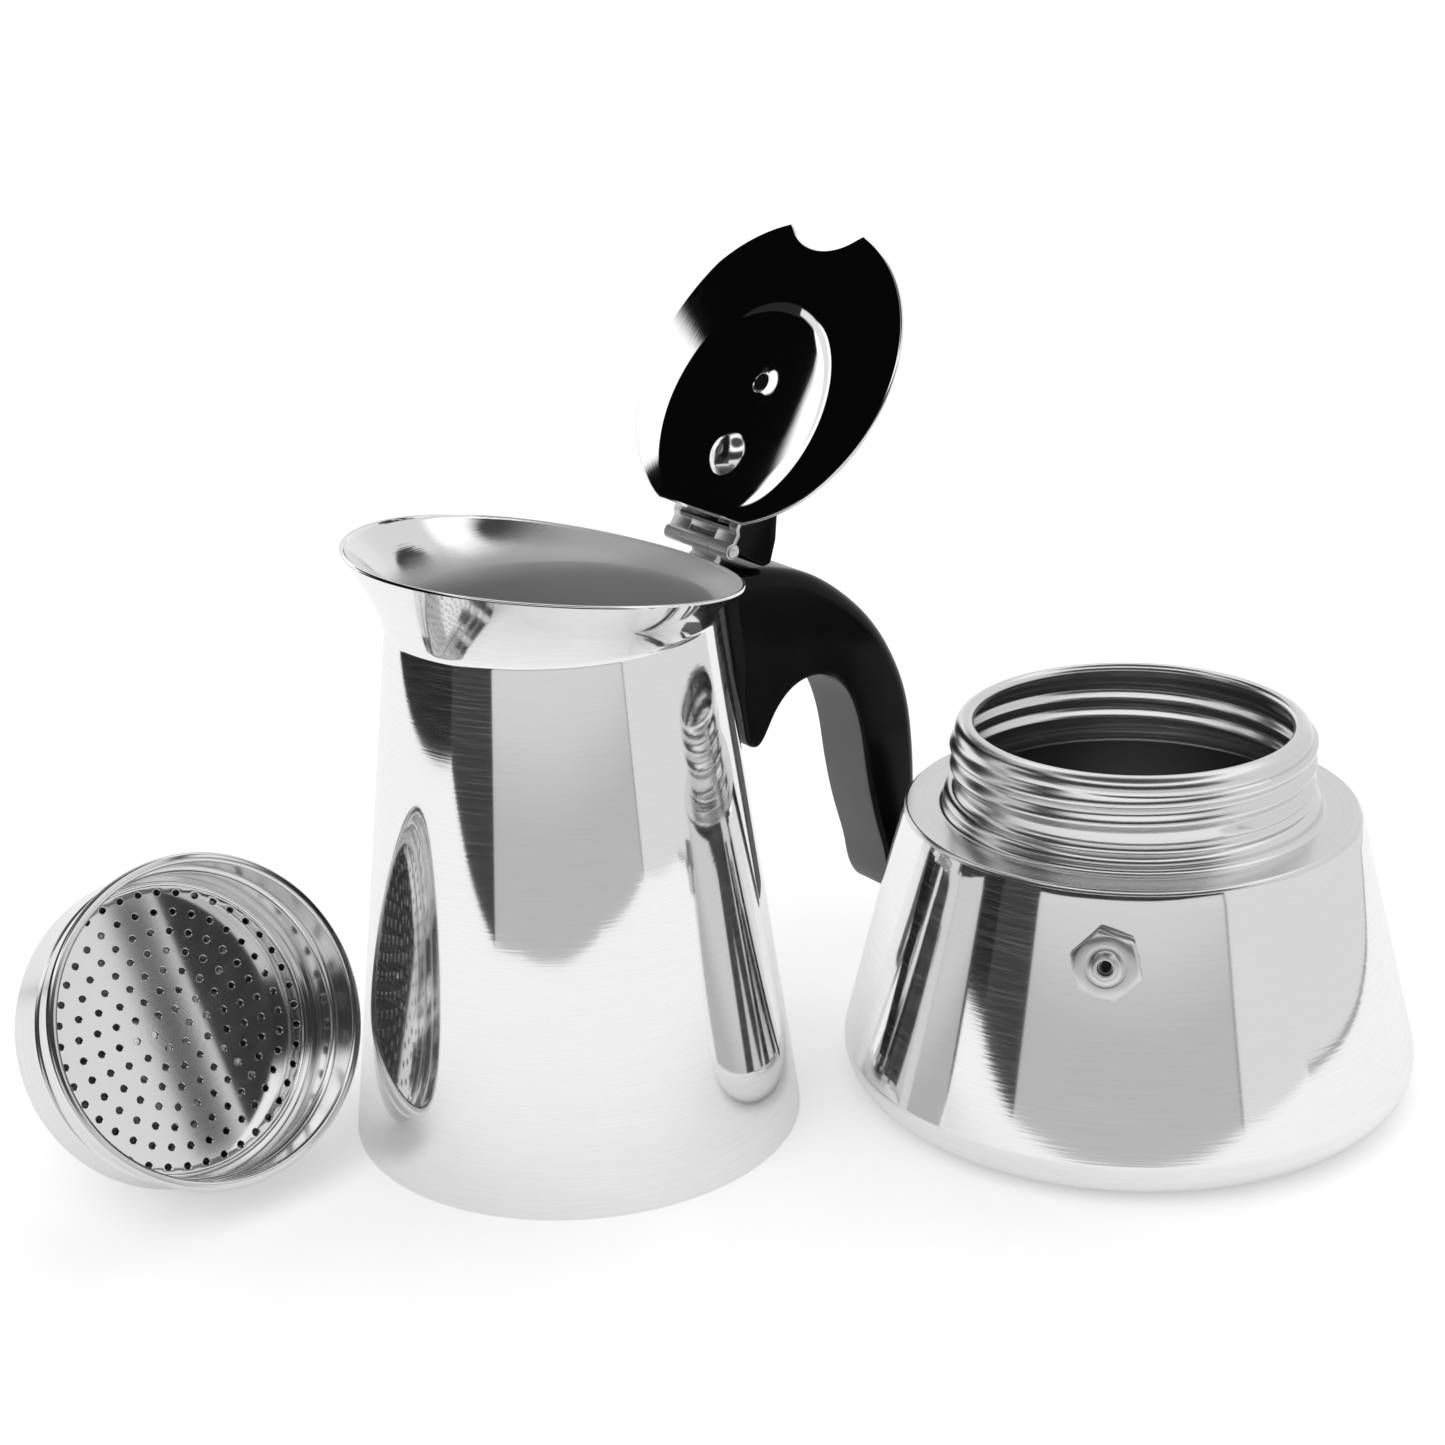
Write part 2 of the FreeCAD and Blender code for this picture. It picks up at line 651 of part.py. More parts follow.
def lid_blank():
    half = LID_SHEET / 2
    flat = oval(LID_RW, LID_RV, -half, half)
    dome = Part.makeCone(RAISE_R, RAISE_R - RAISE, RAISE, V(RAISE_W, 0, half))
    inset = LID_SHEET * 0.6
    dish = Part.makeCone(RAISE_R - inset, RAISE_R - RAISE - inset, RAISE, V(RAISE_W, 0, -half))
    return flat.fuse(dome).cut(dish)


def lid_disc():
    waste = Part.makeBox(60, 120, 20, V(LID_CUT_W - 60, -60, -10))
    notch = Part.makeCylinder(NOTCH_R, 20, V(NOTCH_W + NOTCH_R, 0, -10))
    hole = Part.makeCylinder(LID_HOLE_R, 20, V(LID_HOLE_W, 0, -10))
    screw = Part.makeCylinder(LID_SCREW_R, 20, V(LID_SCREW_W, 0, -10))
    return lid_place(lid_blank().cut(waste).cut(notch).cut(hole).cut(screw))


def upper_leaf_flat():
    half = HINGE_W / 2
    plate = Part.makeBox(LEAF_END_W - PIN_W, HINGE_W, LEAF_T, V(PIN_W, -half, SHEET_TOP))
    barrel = Part.makeCylinder(KNUCKLE_R, HINGE_W, V(PIN_W, -half, PIN_N), V(0, 1, 0))
    slot_half = MIDDLE_W / 2 + SLIP
    reach = KNUCKLE_R + 2 * GAP + 0.3
    slot = Part.makeBox(2 * reach, 2 * slot_half, 12, V(PIN_W - reach, -slot_half, SHEET_TOP - 4))
    return plate.fuse(barrel).cut(slot)


def hinge_upper_leaf():
    bore = Part.makeCylinder(PIN_R + SLIP, 2 * HINGE_W, V(PIN_W, -HINGE_W, PIN_N), V(0, 1, 0))
    screw = Part.makeCylinder(LID_SCREW_R, 20, V(LID_SCREW_W, 0, -10))
    return lid_place(upper_leaf_flat().cut(bore).cut(screw))


def lid_screw_flat():
    low = SHEET_LOW - LID_SCREW_HEAD_H
    head = turned((0, SHEET_LOW), [(LID_SCREW_HEAD_R, SHEET_LOW),
                                   (LID_SCREW_HEAD_R * 0.76, SHEET_LOW - LID_SCREW_HEAD_H * 0.66, 0.7, low),
                                   (0, low)])
    shank = Part.makeCylinder(LID_SCREW_R, 6.0, V(0, 0, SHEET_LOW))
    screw = head.fuse(shank)
    screw.translate(V(LID_SCREW_W, 0, 0))
    return screw


def lid_screw():
    return lid_place(lid_screw_flat())


def lid_knob():
    half = KNOB_W / 2
    clear = PIN_N + KNUCKLE_R + GAP + 0.2
    back = PIN_W + 0.4
    outline = [(LID_CUT_W - 1.2, SHEET_TOP), (LID_CUT_W - 2.6, clear), (back, clear + 0.3),
               (back, KNOB_TOP - 1.2), (back + 1.2, KNOB_TOP), (PIN_W + 6, KNOB_TOP - 1.2),
               (PIN_W + 10, KNOB_TOP - 3.2), (PIN_W + 20, KNOB_TOP - 7.4), (PIN_W + 30, KNOB_TOP - 10.6),
               (LID_HOLE_W + 5.2, SHEET_TOP + 0.9), (LID_HOLE_W + 5.6, SHEET_TOP)]
    knob = slab(outline, half)
    peg = Part.makeCylinder(LID_HOLE_R - SLIP, SHEET_TOP + 0.5, V(LID_HOLE_W, 0, 0.5))
    knob = knob.fuse(peg)
    return lid_place(knob.cut(upper_leaf_flat()).cut(lid_screw_flat()))


# ---- funnel, drawn about its own axis with the mouth up -----------------------------------
def funnel_tilt():
    """Angle at which it lies on the band's lower corner and the stem's tip."""
    dz = BAND_CORNER + STEM_L
    dr = BAND_R - BAND_CORNER - STEM_R
    return atan2(dr, dz) + asin(BAND_CORNER / hypot(dr, dz))


def funnel_rise():
    """Height of its axis where it crosses the band's lower edge."""
    tilt = funnel_tilt()
    return STEM_R * cos(tilt) + STEM_L * sin(tilt)


def funnel_spot():
    """Centre of the mouth in plan: its bead's radius away from the jug's wall at that height."""
    way = radians(FUNNEL_WAY)
    reach = jug_r(funnel_rise() + BAND_H * sin(funnel_tilt())) + BEAD_R
    return V(jug_x() + reach * cos(way), JUG_Y + reach * sin(way), 0)


def funnel_place(shape):
    tilt = funnel_tilt()
    shape.rotate(V(0, 0, 0), V(0, 1, 0), 90 - degrees(tilt))
    shape.translate(V(-BAND_H * cos(tilt), 0, funnel_rise()))
    shape.rotate(V(0, 0, 0), Z_AXIS, FUNNEL_TURN)
    shape.translate(funnel_spot())
    return shape


def funnel_basket():
    t = FUNNEL_SHEET
    c = BAND_CORNER
    r = BAND_R
    g = GROOVE_Z
    d = GROOVE_DEPTH
    low = BAND_H - BEAD_H
    arc = sin(radians(45))
    steps = [(r - c + c * arc, c - c * arc, r, c),
             (r, g - 1.0), (r - d, g, r, g + 1.0), (r, low - 0.4),
             (BEAD_R, BAND_H - BEAD_H / 2, r + 0.1, BAND_H),
             (r - t, BAND_H - 0.2),
             (r - t, g + 1.0), (r - d - t, g, r - t, g - 1.0), (r - t, c),
             (r - c + (c - t) * arc, c - (c - t) * arc, r - c, t)]
    return funnel_place(turned((r - c, 0), steps))


def funnel_plate():
    r = BAND_R - FUNNEL_SHEET
    t = FUNNEL_SHEET
    plate = Part.makeCylinder(r, t, V(0, 0, PLATE_Z))
    bead = turned((r - 2.4, PLATE_Z + t), [(r - 1.7, PLATE_Z + t + 0.5, r - 1.0, PLATE_Z + t)])
    pierced = plate.fuse(bead)
    return funnel_place(pierced.cut(holes(BAND_R, HOLE_PITCH, HOLE_R, PLATE_Z - 1, PLATE_Z + 3)))


def funnel_cone():
    t = FUNNEL_SHEET
    wide = BAND_R - BAND_CORNER
    fit = STEM_R + t
    steps = [(fit, -CONE_H), (fit, -CONE_H - COLLAR_L), (STEM_R, -CONE_H - COLLAR_L),
             (STEM_R, -CONE_H + t), (wide - 1.4, t), (wide, t)]
    return funnel_place(turned((wide, 0), steps))


def funnel_stem():
    return funnel_place(tube(STEM_R, STEM_R - FUNNEL_SHEET, -STEM_L, -CONE_H - 0.4))


BOILER = {"boiler_shell": boiler_shell, "boiler_heat_disc": boiler_heat_disc, "boiler_neck": boiler_neck,
          "valve_gasket": valve_gasket, "valve_body": valve_body, "valve_washer": valve_washer,
          "valve_nut": valve_nut, "valve_seat": valve_seat, "valve_spring": valve_spring,
          "valve_plunger": valve_plunger}
JUG = {"jug_body": jug_body, "jug_floor": jug_floor, "jug_collar": jug_collar, "jug_gasket": jug_gasket,
       "jug_filter_plate": jug_filter_plate, "column_tube": column_tube, "column_cap": column_cap,
       "handle": handle, "handle_bracket": handle_bracket, "handle_screw": handle_screw,
       "hinge_lower_leaf": hinge_lower_leaf, "hinge_pin": hinge_pin, "hinge_upper_leaf": hinge_upper_leaf,
       "lid_disc": lid_disc, "lid_knob": lid_knob, "lid_screw": lid_screw}
FUNNEL = {"funnel_basket": funnel_basket, "funnel_plate": funnel_plate, "funnel_cone": funnel_cone,
          "funnel_stem": funnel_stem}


def main():
    os.makedirs("parts", exist_ok=True)
    for name, make in BOILER.items():
        save(name, make())
    for name, make in JUG.items():
        save(name, jug_place(make()))
    for name, make in FUNNEL.items():
        save(name, make())


main()
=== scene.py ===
"""Looks of a steel stove-top coffee maker taken apart, built round its CAD model.

Shapes are drawn in millimetres in each group's own axes, as the CAD draws them, and placed in
metres in the frame: the boiler's foot is the origin and +Z is up.
"""

from math import asin, atan2, ceil, cos, hypot, pi, radians, sin, sqrt

import bmesh
import bpy
import numpy as np
from mathutils import Matrix, Vector
from mathutils.geometry import delaunay_2d_cdt


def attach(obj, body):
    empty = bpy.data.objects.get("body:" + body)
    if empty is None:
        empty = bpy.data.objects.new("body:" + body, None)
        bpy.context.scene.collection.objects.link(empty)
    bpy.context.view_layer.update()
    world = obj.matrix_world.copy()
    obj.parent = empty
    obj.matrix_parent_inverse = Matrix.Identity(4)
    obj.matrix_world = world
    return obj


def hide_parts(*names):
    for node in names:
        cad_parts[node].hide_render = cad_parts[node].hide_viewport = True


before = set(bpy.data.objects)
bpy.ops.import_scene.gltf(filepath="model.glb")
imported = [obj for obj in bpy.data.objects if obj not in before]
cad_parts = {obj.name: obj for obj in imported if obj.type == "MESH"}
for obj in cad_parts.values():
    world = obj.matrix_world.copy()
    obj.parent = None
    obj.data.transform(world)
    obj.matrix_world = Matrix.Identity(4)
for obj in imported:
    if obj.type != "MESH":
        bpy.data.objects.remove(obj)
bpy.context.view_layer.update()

MM = 0.001
AROUND = 256  # corners round a large turned shape

# ---- sizes shared with the CAD, in millimetres ----
SHEET = 0.8
LID_SHEET = 0.8
FUNNEL_SHEET = 0.7

FOOT_R, HEAT_DISC_T = 47.6, 1.2
BOILER_R, BOILER_WIDE_Z = 54.5, 9.1
SHOULDER_R, SHOULDER_Z = 42.8, 55.6
NECK_R, NECK_H = 33.0, 17.6
NECK_STEP_R, NECK_STEP_H = 35.2, 4.0
MOUTH_R, RIM_ROLL_H = 29.45, 2.8
THREAD_PITCH, THREAD_DEPTH, THREAD_TURNS = 3.7, 1.0, 2.3
THREAD_START_H, THREAD_START_ANGLE = 6.15, -75.0

VALVE_Z, VALVE_ANGLE, VALVE_TURN = 44.1, -104.0, 14.0
VALVE_STAND, VALVE_HEX, VALVE_HEX_H = 0.6, 11.4, 3.0
VALVE_BOSS_R, VALVE_BOSS_H, VALVE_HOLE_R = 2.5, 1.1, 1.35
VALVE_SHANK_R, VALVE_SHANK_L, VALVE_BORE_R = 3.2, 9.4, 2.1

JUG_X, JUG_Y, JUG_TURN = -106.405, -7.5, 35.5
JUG_R, CREASE_R, CREASE_Z = 42.6, 30.0, 99.4
FLARE_Z, FLARE_SLOPE, FLARE_BOW = 110.2, -0.16, -0.0012
RIM_MEAN_R, RIM_COS = 36.75, (-1.45, -2.0, 0.02, 0.23)

HANDLE_W, TIP_W, HANDLE_EDGE = 17.0, 14.0, 3.2
PIN_U, PIN_Z, PIN_R, KNUCKLE_R = 33.4, 106.5, 0.8, 1.5
HINGE_W, MIDDLE_W, LEAF_T, SLIP = 20.0, 8.0, 0.8, 0.05
OPEN_ANGLE = 57.4
PIN_W, LID_CUT_W = -33.1, -28.25
LID_RW, LID_RV = 30.6, 35.0
NOTCH_R, NOTCH_W = 15.2, 24.9
RAISE, RAISE_R, RAISE_W = 1.0, 22.0, -7.5
LID_HOLE_W, LID_HOLE_R = -1.8, 1.85
LID_SCREW_W, LID_SCREW_R, LID_SCREW_HEAD_R, LID_SCREW_HEAD_H = -16.4, 1.9, 4.3, 2.5
LEAF_END_W, KNOB_W, KNOB_TOP = -11.5, 16.0, 14.0
SHEET_LOW, SHEET_TOP = RAISE - LID_SHEET / 2, RAISE + LID_SHEET / 2
PIN_N = SHEET_TOP + KNUCKLE_R

FUNNEL_X, FUNNEL_Y, FUNNEL_TURN = -169.355, -34.611, -49.0
BAND_R, BAND_H, BAND_CORNER = 29.1, 20.8, 2.5
BEAD_R, BEAD_H, GROOVE_Z, GROOVE_DEPTH = 30.3, 1.7, 12.8, 0.8
PLATE_Z, HOLE_R, HOLE_PITCH, HOLE_RINGS = 3.2, 0.63, 3.6, 7
STEM_R, STEM_L, CONE_H, COLLAR_L = 4.5, 49.4, 9.5, 5.0

# How far the boiler's side leans in.
LEAN = atan2(BOILER_R - SHOULDER_R, SHOULDER_Z - BOILER_WIDE_Z)

# ---- sizes of the looks alone, in millimetres ----
SHELL_BEND, SHELL_BEND_Z = 0.028, 53.2  # the boiler's side bends in above a height
LID_DISH, LID_CONE, LID_STEP = 0.75, 0.055, -0.10
LID_CONE_R = 30.0  # where the lid's cone has no height
SLOPE_ABOVE, SLOPE_BELOW = 1.6, 3.2  # width of the slope round the pressed circle
DIMPLE, DIMPLE_W = 0.34, 3.4  # raised ring round the lid's hole
LID_INNER_R = LID_HOLE_R + 0.2  # where the lid's faces start, outside the hole's lip
RIM_DROP = 0.42  # how far the jug's rim stays under its guiding line
FLARE_SHARE = 1.12  # the flare's sheet measured level, against its thickness
SIEVE_BORDER = 2.2  # plain border of the funnel's plate

# Side outline of the grip, from the crease: outwards and up.
GRIP = [(8.5, 1.6), (13.5, 1.3), (17.8, 0.3), (21.8, -1.0), (27.2, -3.7), (32.6, -7.6), (37.5, -12.1),
        (41.6, -17.1), (45.0, -22.8), (47.3, -28.0), (48.8, -33.2), (49.7, -39.0), (50.2, -45.9),
        (50.3, -53.4), (50.0, -60.9), (49.4, -67.4), (48.2, -72.5), (45.6, -74.2), (43.3, -72.2),
        (41.4, -65.4), (39.2, -57.4), (37.3, -49.4), (36.3, -43.4), (35.4, -37.2), (34.0, -31.6),
        (31.9, -27.0), (29.0, -24.0), (25.6, -22.5), (22.0, -22.3), (18.7, -23.3), (15.8, -25.3),
        (13.4, -28.2), (11.4, -31.4), (9.2, -33.2), (7.2, -32.2), (6.1, -28.4), (5.2, -23.0),
        (4.3, -16.4), (3.4, -9.9), (2.8, -4.8), (2.9, -1.5), (4.6, 0.8)]

# Where the grip is narrow its edges are rounded less: below a height, within a reach, to a share.
NARROW = [(-24.4, 16.0, 0.36), (-69.4, 60.0, 0.45), (-21.0, 44.0, 0.4)]


# ---- places of the groups ----
def move(x, y, z):
    return Matrix.Translation((x, y, z))


def turn(degrees, axis):
    return Matrix.Rotation(radians(degrees), 4, axis)


def boiler_r(z):
    return BOILER_R - (BOILER_R - SHOULDER_R) * (z - BOILER_WIDE_Z) / (SHOULDER_Z - BOILER_WIDE_Z)


def funnel_tilt():
    """Angle between the funnel's axis and the line that touches its stem and its band."""
    dz = BAND_CORNER + STEM_L
    dr = BAND_R - BAND_CORNER - STEM_R
    return atan2(dr, dz) + asin(BAND_CORNER / hypot(dr, dz))


def funnel_matrix():
    tilt = funnel_tilt()
    rise = STEM_R * cos(tilt) + STEM_L * sin(tilt)
    stand = turn(90 - tilt * 180 / pi, "Y")
    return (move(FUNNEL_X, FUNNEL_Y, 0) @ turn(FUNNEL_TURN, "Z")
            @ move(-BAND_H * cos(tilt), 0, rise) @ stand)


BOILER = Matrix.Identity(4)
VALVE = (turn(VALVE_ANGLE, "Z") @ move(boiler_r(VALVE_Z), 0, VALVE_Z)
         @ turn(90 - LEAN * 180 / pi, "Y"))
JUG = move(JUG_X, JUG_Y, 0) @ turn(JUG_TURN, "Z")
LID = (JUG @ move(PIN_U, 0, PIN_Z) @ turn(180 - OPEN_ANGLE, "Y") @ turn(180, "Z")
       @ move(-PIN_W, 0, -PIN_N))
FUNNEL = funnel_matrix()


# ---- mesh helpers ----
def smooth(share):
    """Eases a share at both of its ends."""
    return share * share * (3 - 2 * share)


def evenly(a, b, count):
    """Values from a to b in equal steps, with both ends."""
    return [a + (b - a) * k / count for k in range(count + 1)]


def outline(start, steps, fine=0.25):
    """Points along a profile: each step is a point, or a mid point and an end point of an arc."""
    points = [tuple(start)]
    for step in steps:
        here = points[-1]
        if len(step) == 2:
            points += straight(here, step)
        else:
            points += curved(here, step[:2], step[2:], fine)
    return points


def straight(a, b, hold=0.12):
    """The end of a line, with a support point near each end to keep its shading flat."""
    size = hypot(b[0] - a[0], b[1] - a[1])
    if size < 4 * hold:
        return [tuple(b)]
    shares = (hold / size, 1 - hold / size, 1.0)
    return [(a[0] + (b[0] - a[0]) * s, a[1] + (b[1] - a[1]) * s) for s in shares]


def curved(a, m, b, fine):
    """Points of the arc from a through m to b, without a."""
    ax, ay, bx, by, cx, cy = *a, *m, *b
    d = 2 * (ax * (by - cy) + bx * (cy - ay) + cx * (ay - by))
    if abs(d) < 1e-9:
        return [tuple(b)]
    ux = ((ax * ax + ay * ay) * (by - cy) + (bx * bx + by * by) * (cy - ay)
          + (cx * cx + cy * cy) * (ay - by)) / d
    uy = ((ax * ax + ay * ay) * (cx - bx) + (bx * bx + by * by) * (ax - cx)
          + (cx * cx + cy * cy) * (bx - ax)) / d
    r = hypot(ax - ux, ay - uy)
    a0, a1, a2 = atan2(ay - uy, ax - ux), atan2(by - uy, bx - ux), atan2(cy - uy, cx - ux)
    sweep = (a2 - a0) % (2 * pi)
    if (a1 - a0) % (2 * pi) > sweep:
        sweep -= 2 * pi
    count = max(4, ceil(abs(sweep) * r / fine))
    return [(ux + r * cos(a0 + sweep * k / count), uy + r * sin(a0 + sweep * k / count))
            for k in range(1, count + 1)]


def skin(rings, loop=True):
    """Faces between successive rings of points; a ring of one point closes to a tip."""
    verts, starts = [], []
    for ring in rings:
        starts.append(len(verts))
        verts.extend(ring)
    faces = []
    last = len(rings) if loop else len(rings) - 1
    for i in range(last):
        a, b = rings[i], rings[(i + 1) % len(rings)]
        sa, sb = starts[i], starts[(i + 1) % len(rings)]
        n = max(len(a), len(b))
        if len(a) == 1 and len(b) == 1:
            continue
        for k in range(n):
            k2 = (k + 1) % n
            if len(a) == 1:
                faces.append((sa, sb + k2, sb + k))
            elif len(b) == 1:
                faces.append((sa + k, sa + k2, sb))
            else:
                faces.append((sa + k, sa + k2, sb + k2, sb + k))
    return verts, faces


def turns(count):
    """Angles in equal steps round a full turn."""
    return [2 * pi * k / count for k in range(count)]


def at(a, r, z):
    """The point at an angle, radius and height."""
    return (r * cos(a), r * sin(a), z)


def circle(r, z, count=AROUND):
    if r < 1e-6:
        return [(0.0, 0.0, z)]
    return [at(a, r, z) for a in turns(count)]


def lathe(profile, count=AROUND):
    """Closed turned shape from a closed profile of radius and height."""
    return skin([circle(r, z, count) for r, z in profile])


def slab(points, half, edge=0.3, corners=3):
    """Outline in the XZ plane pulled to both sides along Y, with its edges rounded."""
    bm = bmesh.new()
    near = [bm.verts.new((x, -half, z)) for x, z in points]
    face = bm.faces.new(near)
    pulled = bmesh.ops.extrude_face_region(bm, geom=[face])
    verts = [v for v in pulled["geom"] if isinstance(v, bmesh.types.BMVert)]
    bmesh.ops.translate(bm, verts=verts, vec=(0, 2 * half, 0))
    bmesh.ops.bevel(bm, geom=bm.edges[:], offset=edge, segments=corners, profile=0.5,
                    affect="EDGES", clamp_overlap=True)
    bm.verts.index_update()
    verts = [tuple(v.co) for v in bm.verts]
    faces = [tuple(v.index for v in f.verts) for f in bm.faces]
    bm.free()
    return verts, faces


def joined(*shapes):
    verts, faces = [], []
    for v, f in shapes:
        start = len(verts)
        verts += list(v)
        faces += [tuple(i + start for i in face) for face in f]
    return verts, faces


def shifted(shape, matrix):
    verts, faces = shape
    return [tuple(matrix @ Vector(v)) for v in verts], faces


def placed(name, data):
    """A new object in the scene."""
    made = bpy.data.objects.new(name, data)
    bpy.context.scene.collection.objects.link(made)
    return made


def piece(name, shape, place, material, body, nodes, sharp):
    """Makes the piece, smooth except at edges sharper than an angle, and ties it to the frame."""
    verts, faces = shape
    local = np.array(verts, float)
    matrix = np.array(place)
    world = (local @ matrix[:3, :3].T + matrix[:3, 3]) * MM
    mesh = bpy.data.meshes.new(name)
    mesh.from_pydata(world.tolist(), [], faces)
    bm = bmesh.new()
    bm.from_mesh(mesh)
    bmesh.ops.remove_doubles(bm, verts=bm.verts[:], dist=1e-7)
    bmesh.ops.recalc_face_normals(bm, faces=bm.faces[:])
    bm.to_mesh(mesh)
    bm.free()
    mesh.polygons.foreach_set("use_smooth", [True] * len(mesh.polygons))
    mesh.set_sharp_from_angle(angle=radians(sharp))
    mesh.materials.append(material)
    made = placed(name, mesh)
    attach(made, body)
    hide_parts(*nodes)
    return made


# ---- shader helpers ----
def add(tree, kind, props=None, **inputs):
    """A shader node; an input named i0, i1 ... is chosen by number, others by name."""
    made = tree.nodes.new("ShaderNode" + kind)
    for key, value in (props or {}).items():
        setattr(made, key, value)
    for key, value in inputs.items():
        numbered = key[0] == "i" and key[1:].isdigit()
        socket = made.inputs[int(key[1:])] if numbered else made.inputs[key.replace("_", " ")]
        if isinstance(value, bpy.types.NodeSocket):
            tree.links.new(value, socket)
        else:
            socket.default_value = value
    return made


def calc(tree, operation, a, b=0.0, c=0.0):
    return add(tree, "Math", {"operation": operation}, i0=a, i1=b, i2=c).outputs[0]


def spread(tree, value, low, high):
    """Maps 0..1 to low..high."""
    return add(tree, "MapRange", Value=value, To_Min=low, To_Max=high).outputs[0]


def between(tree, value, low, high):
    """0 below low, 1 above high, smooth in between."""
    node = add(tree, "MapRange", {"interpolation_type": "SMOOTHSTEP"}, Value=value, From_Min=low,
               From_Max=high)
    return node.outputs[0]


def both(tree, a, b):
    return calc(tree, "MULTIPLY", a, b)


def without(tree, a):
    return calc(tree, "SUBTRACT", 1.0, a)


def band(tree, value, rise, fall):
    """1 where a value lies between a rise and a fall, each given by its two ends."""
    return both(tree, between(tree, value, *rise), without(tree, between(tree, value, *fall)))


def mixed(tree, factor, low, high):
    return add(tree, "Mix", {"data_type": "FLOAT"}, i0=factor, i2=low, i3=high).outputs[0]


def noise(tree, vector, scale, detail=2.0, w=None):
    props = {"noise_dimensions": "4D" if w is not None else "3D"}
    node = add(tree, "TexNoise", props, Vector=vector, Scale=scale, Detail=detail)
    if w is not None:
        tree.links.new(w, node.inputs["W"])
    return node.outputs[0]


def tinted(tree, factor, low, high):
    """Colour between two greys or colours by a factor."""
    ramp = add(tree, "ValToRGB", Fac=factor)
    ramp.color_ramp.elements[0].color = (*low, 1)
    ramp.color_ramp.elements[1].color = (*high, 1)
    ramp.color_ramp.elements[0].position = 0.3
    ramp.color_ramp.elements[1].position = 0.7
    return ramp.outputs[0]


def new_material(name):
    made = bpy.data.materials.new(name)
    made.use_nodes = True
    tree = made.node_tree
    tree.nodes.clear()
    return made, tree


def coat(tree, colour, gloss, height, relief, depth=0.00012, metallic=0.0):
    """A surface with a relief from a height."""
    bump = add(tree, "Bump", Strength=relief, Distance=depth, Height=height)
    return add(tree, "BsdfPrincipled", Base_Color=colour, Metallic=metallic, Roughness=gloss,
               Normal=bump.outputs[0])


def finish_material(tree, shader):
    out = tree.nodes.new("ShaderNodeOutputMaterial")
    tree.links.new(shader.outputs[0], out.inputs["Surface"])


def object_point(tree):
    return add(tree, "TexCoord").outputs["Object"]


def vector(tree, operation, a, b):
    return add(tree, "VectorMath", {"operation": operation}, i0=a, i1=b).outputs[0]


def dot(tree, a, b):
    return add(tree, "VectorMath", {"operation": "DOT_PRODUCT"}, i0=a, i1=b).outputs[1]


def scaled(tree, a, by):
    return add(tree, "VectorMath", {"operation": "SCALE"}, i0=a, Scale=by).outputs[0]


def own_axis(place):
    """A group's origin in metres and the direction of its axis."""
    return place.translation * MM, (place.to_3x3() @ Vector((0, 0, 1))).normalized()


def round_axis(tree, place):
    """Coordinates about a group's axis: the part across it, height along it, distance from it."""
    origin, axis = own_axis(place)
    from_origin = vector(tree, "SUBTRACT", object_point(tree), origin)
    height = dot(tree, from_origin, axis)
    across = vector(tree, "SUBTRACT", from_origin, scaled(tree, axis, height))
    radius = add(tree, "VectorMath", {"operation": "LENGTH"}, i0=across).outputs[1]
    return across, height, radius


def turned_lines(tree, place, per_metre, streak, detail=3.0):
    """Fine lines that run round an axis, such as polishing and turning leave."""
    across, height, radius = round_axis(tree, place)
    w = calc(tree, "MULTIPLY", calc(tree, "ADD", height, radius), per_metre)
    return noise(tree, scaled(tree, across, streak), 1.0, detail, w)


def steel(name, place, tone, rough, lines, depth, per_metre=2600.0, streak=45.0, aniso=0.0,
          haze=0.0):
    """Steel with polishing lines round an axis.

    Tone and rough are low and high values, lines is the share of the lines against soft clouds and
    depth their relief. Haze is the share of light that the finest scratches spread wide.
    """
    made, tree = new_material(name)
    point = object_point(tree)
    fine = turned_lines(tree, place, per_metre, streak)
    cloud = noise(tree, point, 38.0, 3.0)
    specks = noise(tree, point, 900.0, 2.0)
    worn = calc(tree, "ADD", calc(tree, "MULTIPLY", fine, lines),
                calc(tree, "MULTIPLY", cloud, 1 - lines))
    colour = tinted(tree, worn, (tone[0],) * 3, (tone[1],) * 3)
    gloss = spread(tree, worn, rough[0], rough[1])
    height = calc(tree, "ADD", fine, calc(tree, "MULTIPLY", specks, 0.12))
    bump = add(tree, "Bump", Strength=depth, Distance=0.00012, Height=height)
    shader = add(tree, "BsdfPrincipled", Base_Color=colour, Metallic=1.0, Roughness=gloss,
                 Normal=bump.outputs[0])
    if aniso:
        shader.inputs["Anisotropic"].default_value = aniso
        tangent = add(tree, "Tangent", {"direction_type": "RADIAL", "axis": "Z"})
        tree.links.new(tangent.outputs[0], shader.inputs["Tangent"])
    if haze:
        wide = add(tree, "BsdfDiffuse", Color=colour, Normal=bump.outputs[0])
        scratch = turned_lines(tree, place, 5200.0, 90.0, 4.0)
        share = calc(tree, "MULTIPLY", between(tree, scratch, 0.44, 0.74), haze)
        shader = add(tree, "MixShader", i0=share, i1=shader.outputs[0], i2=wide.outputs[0])
    finish_material(tree, shader)
    return made


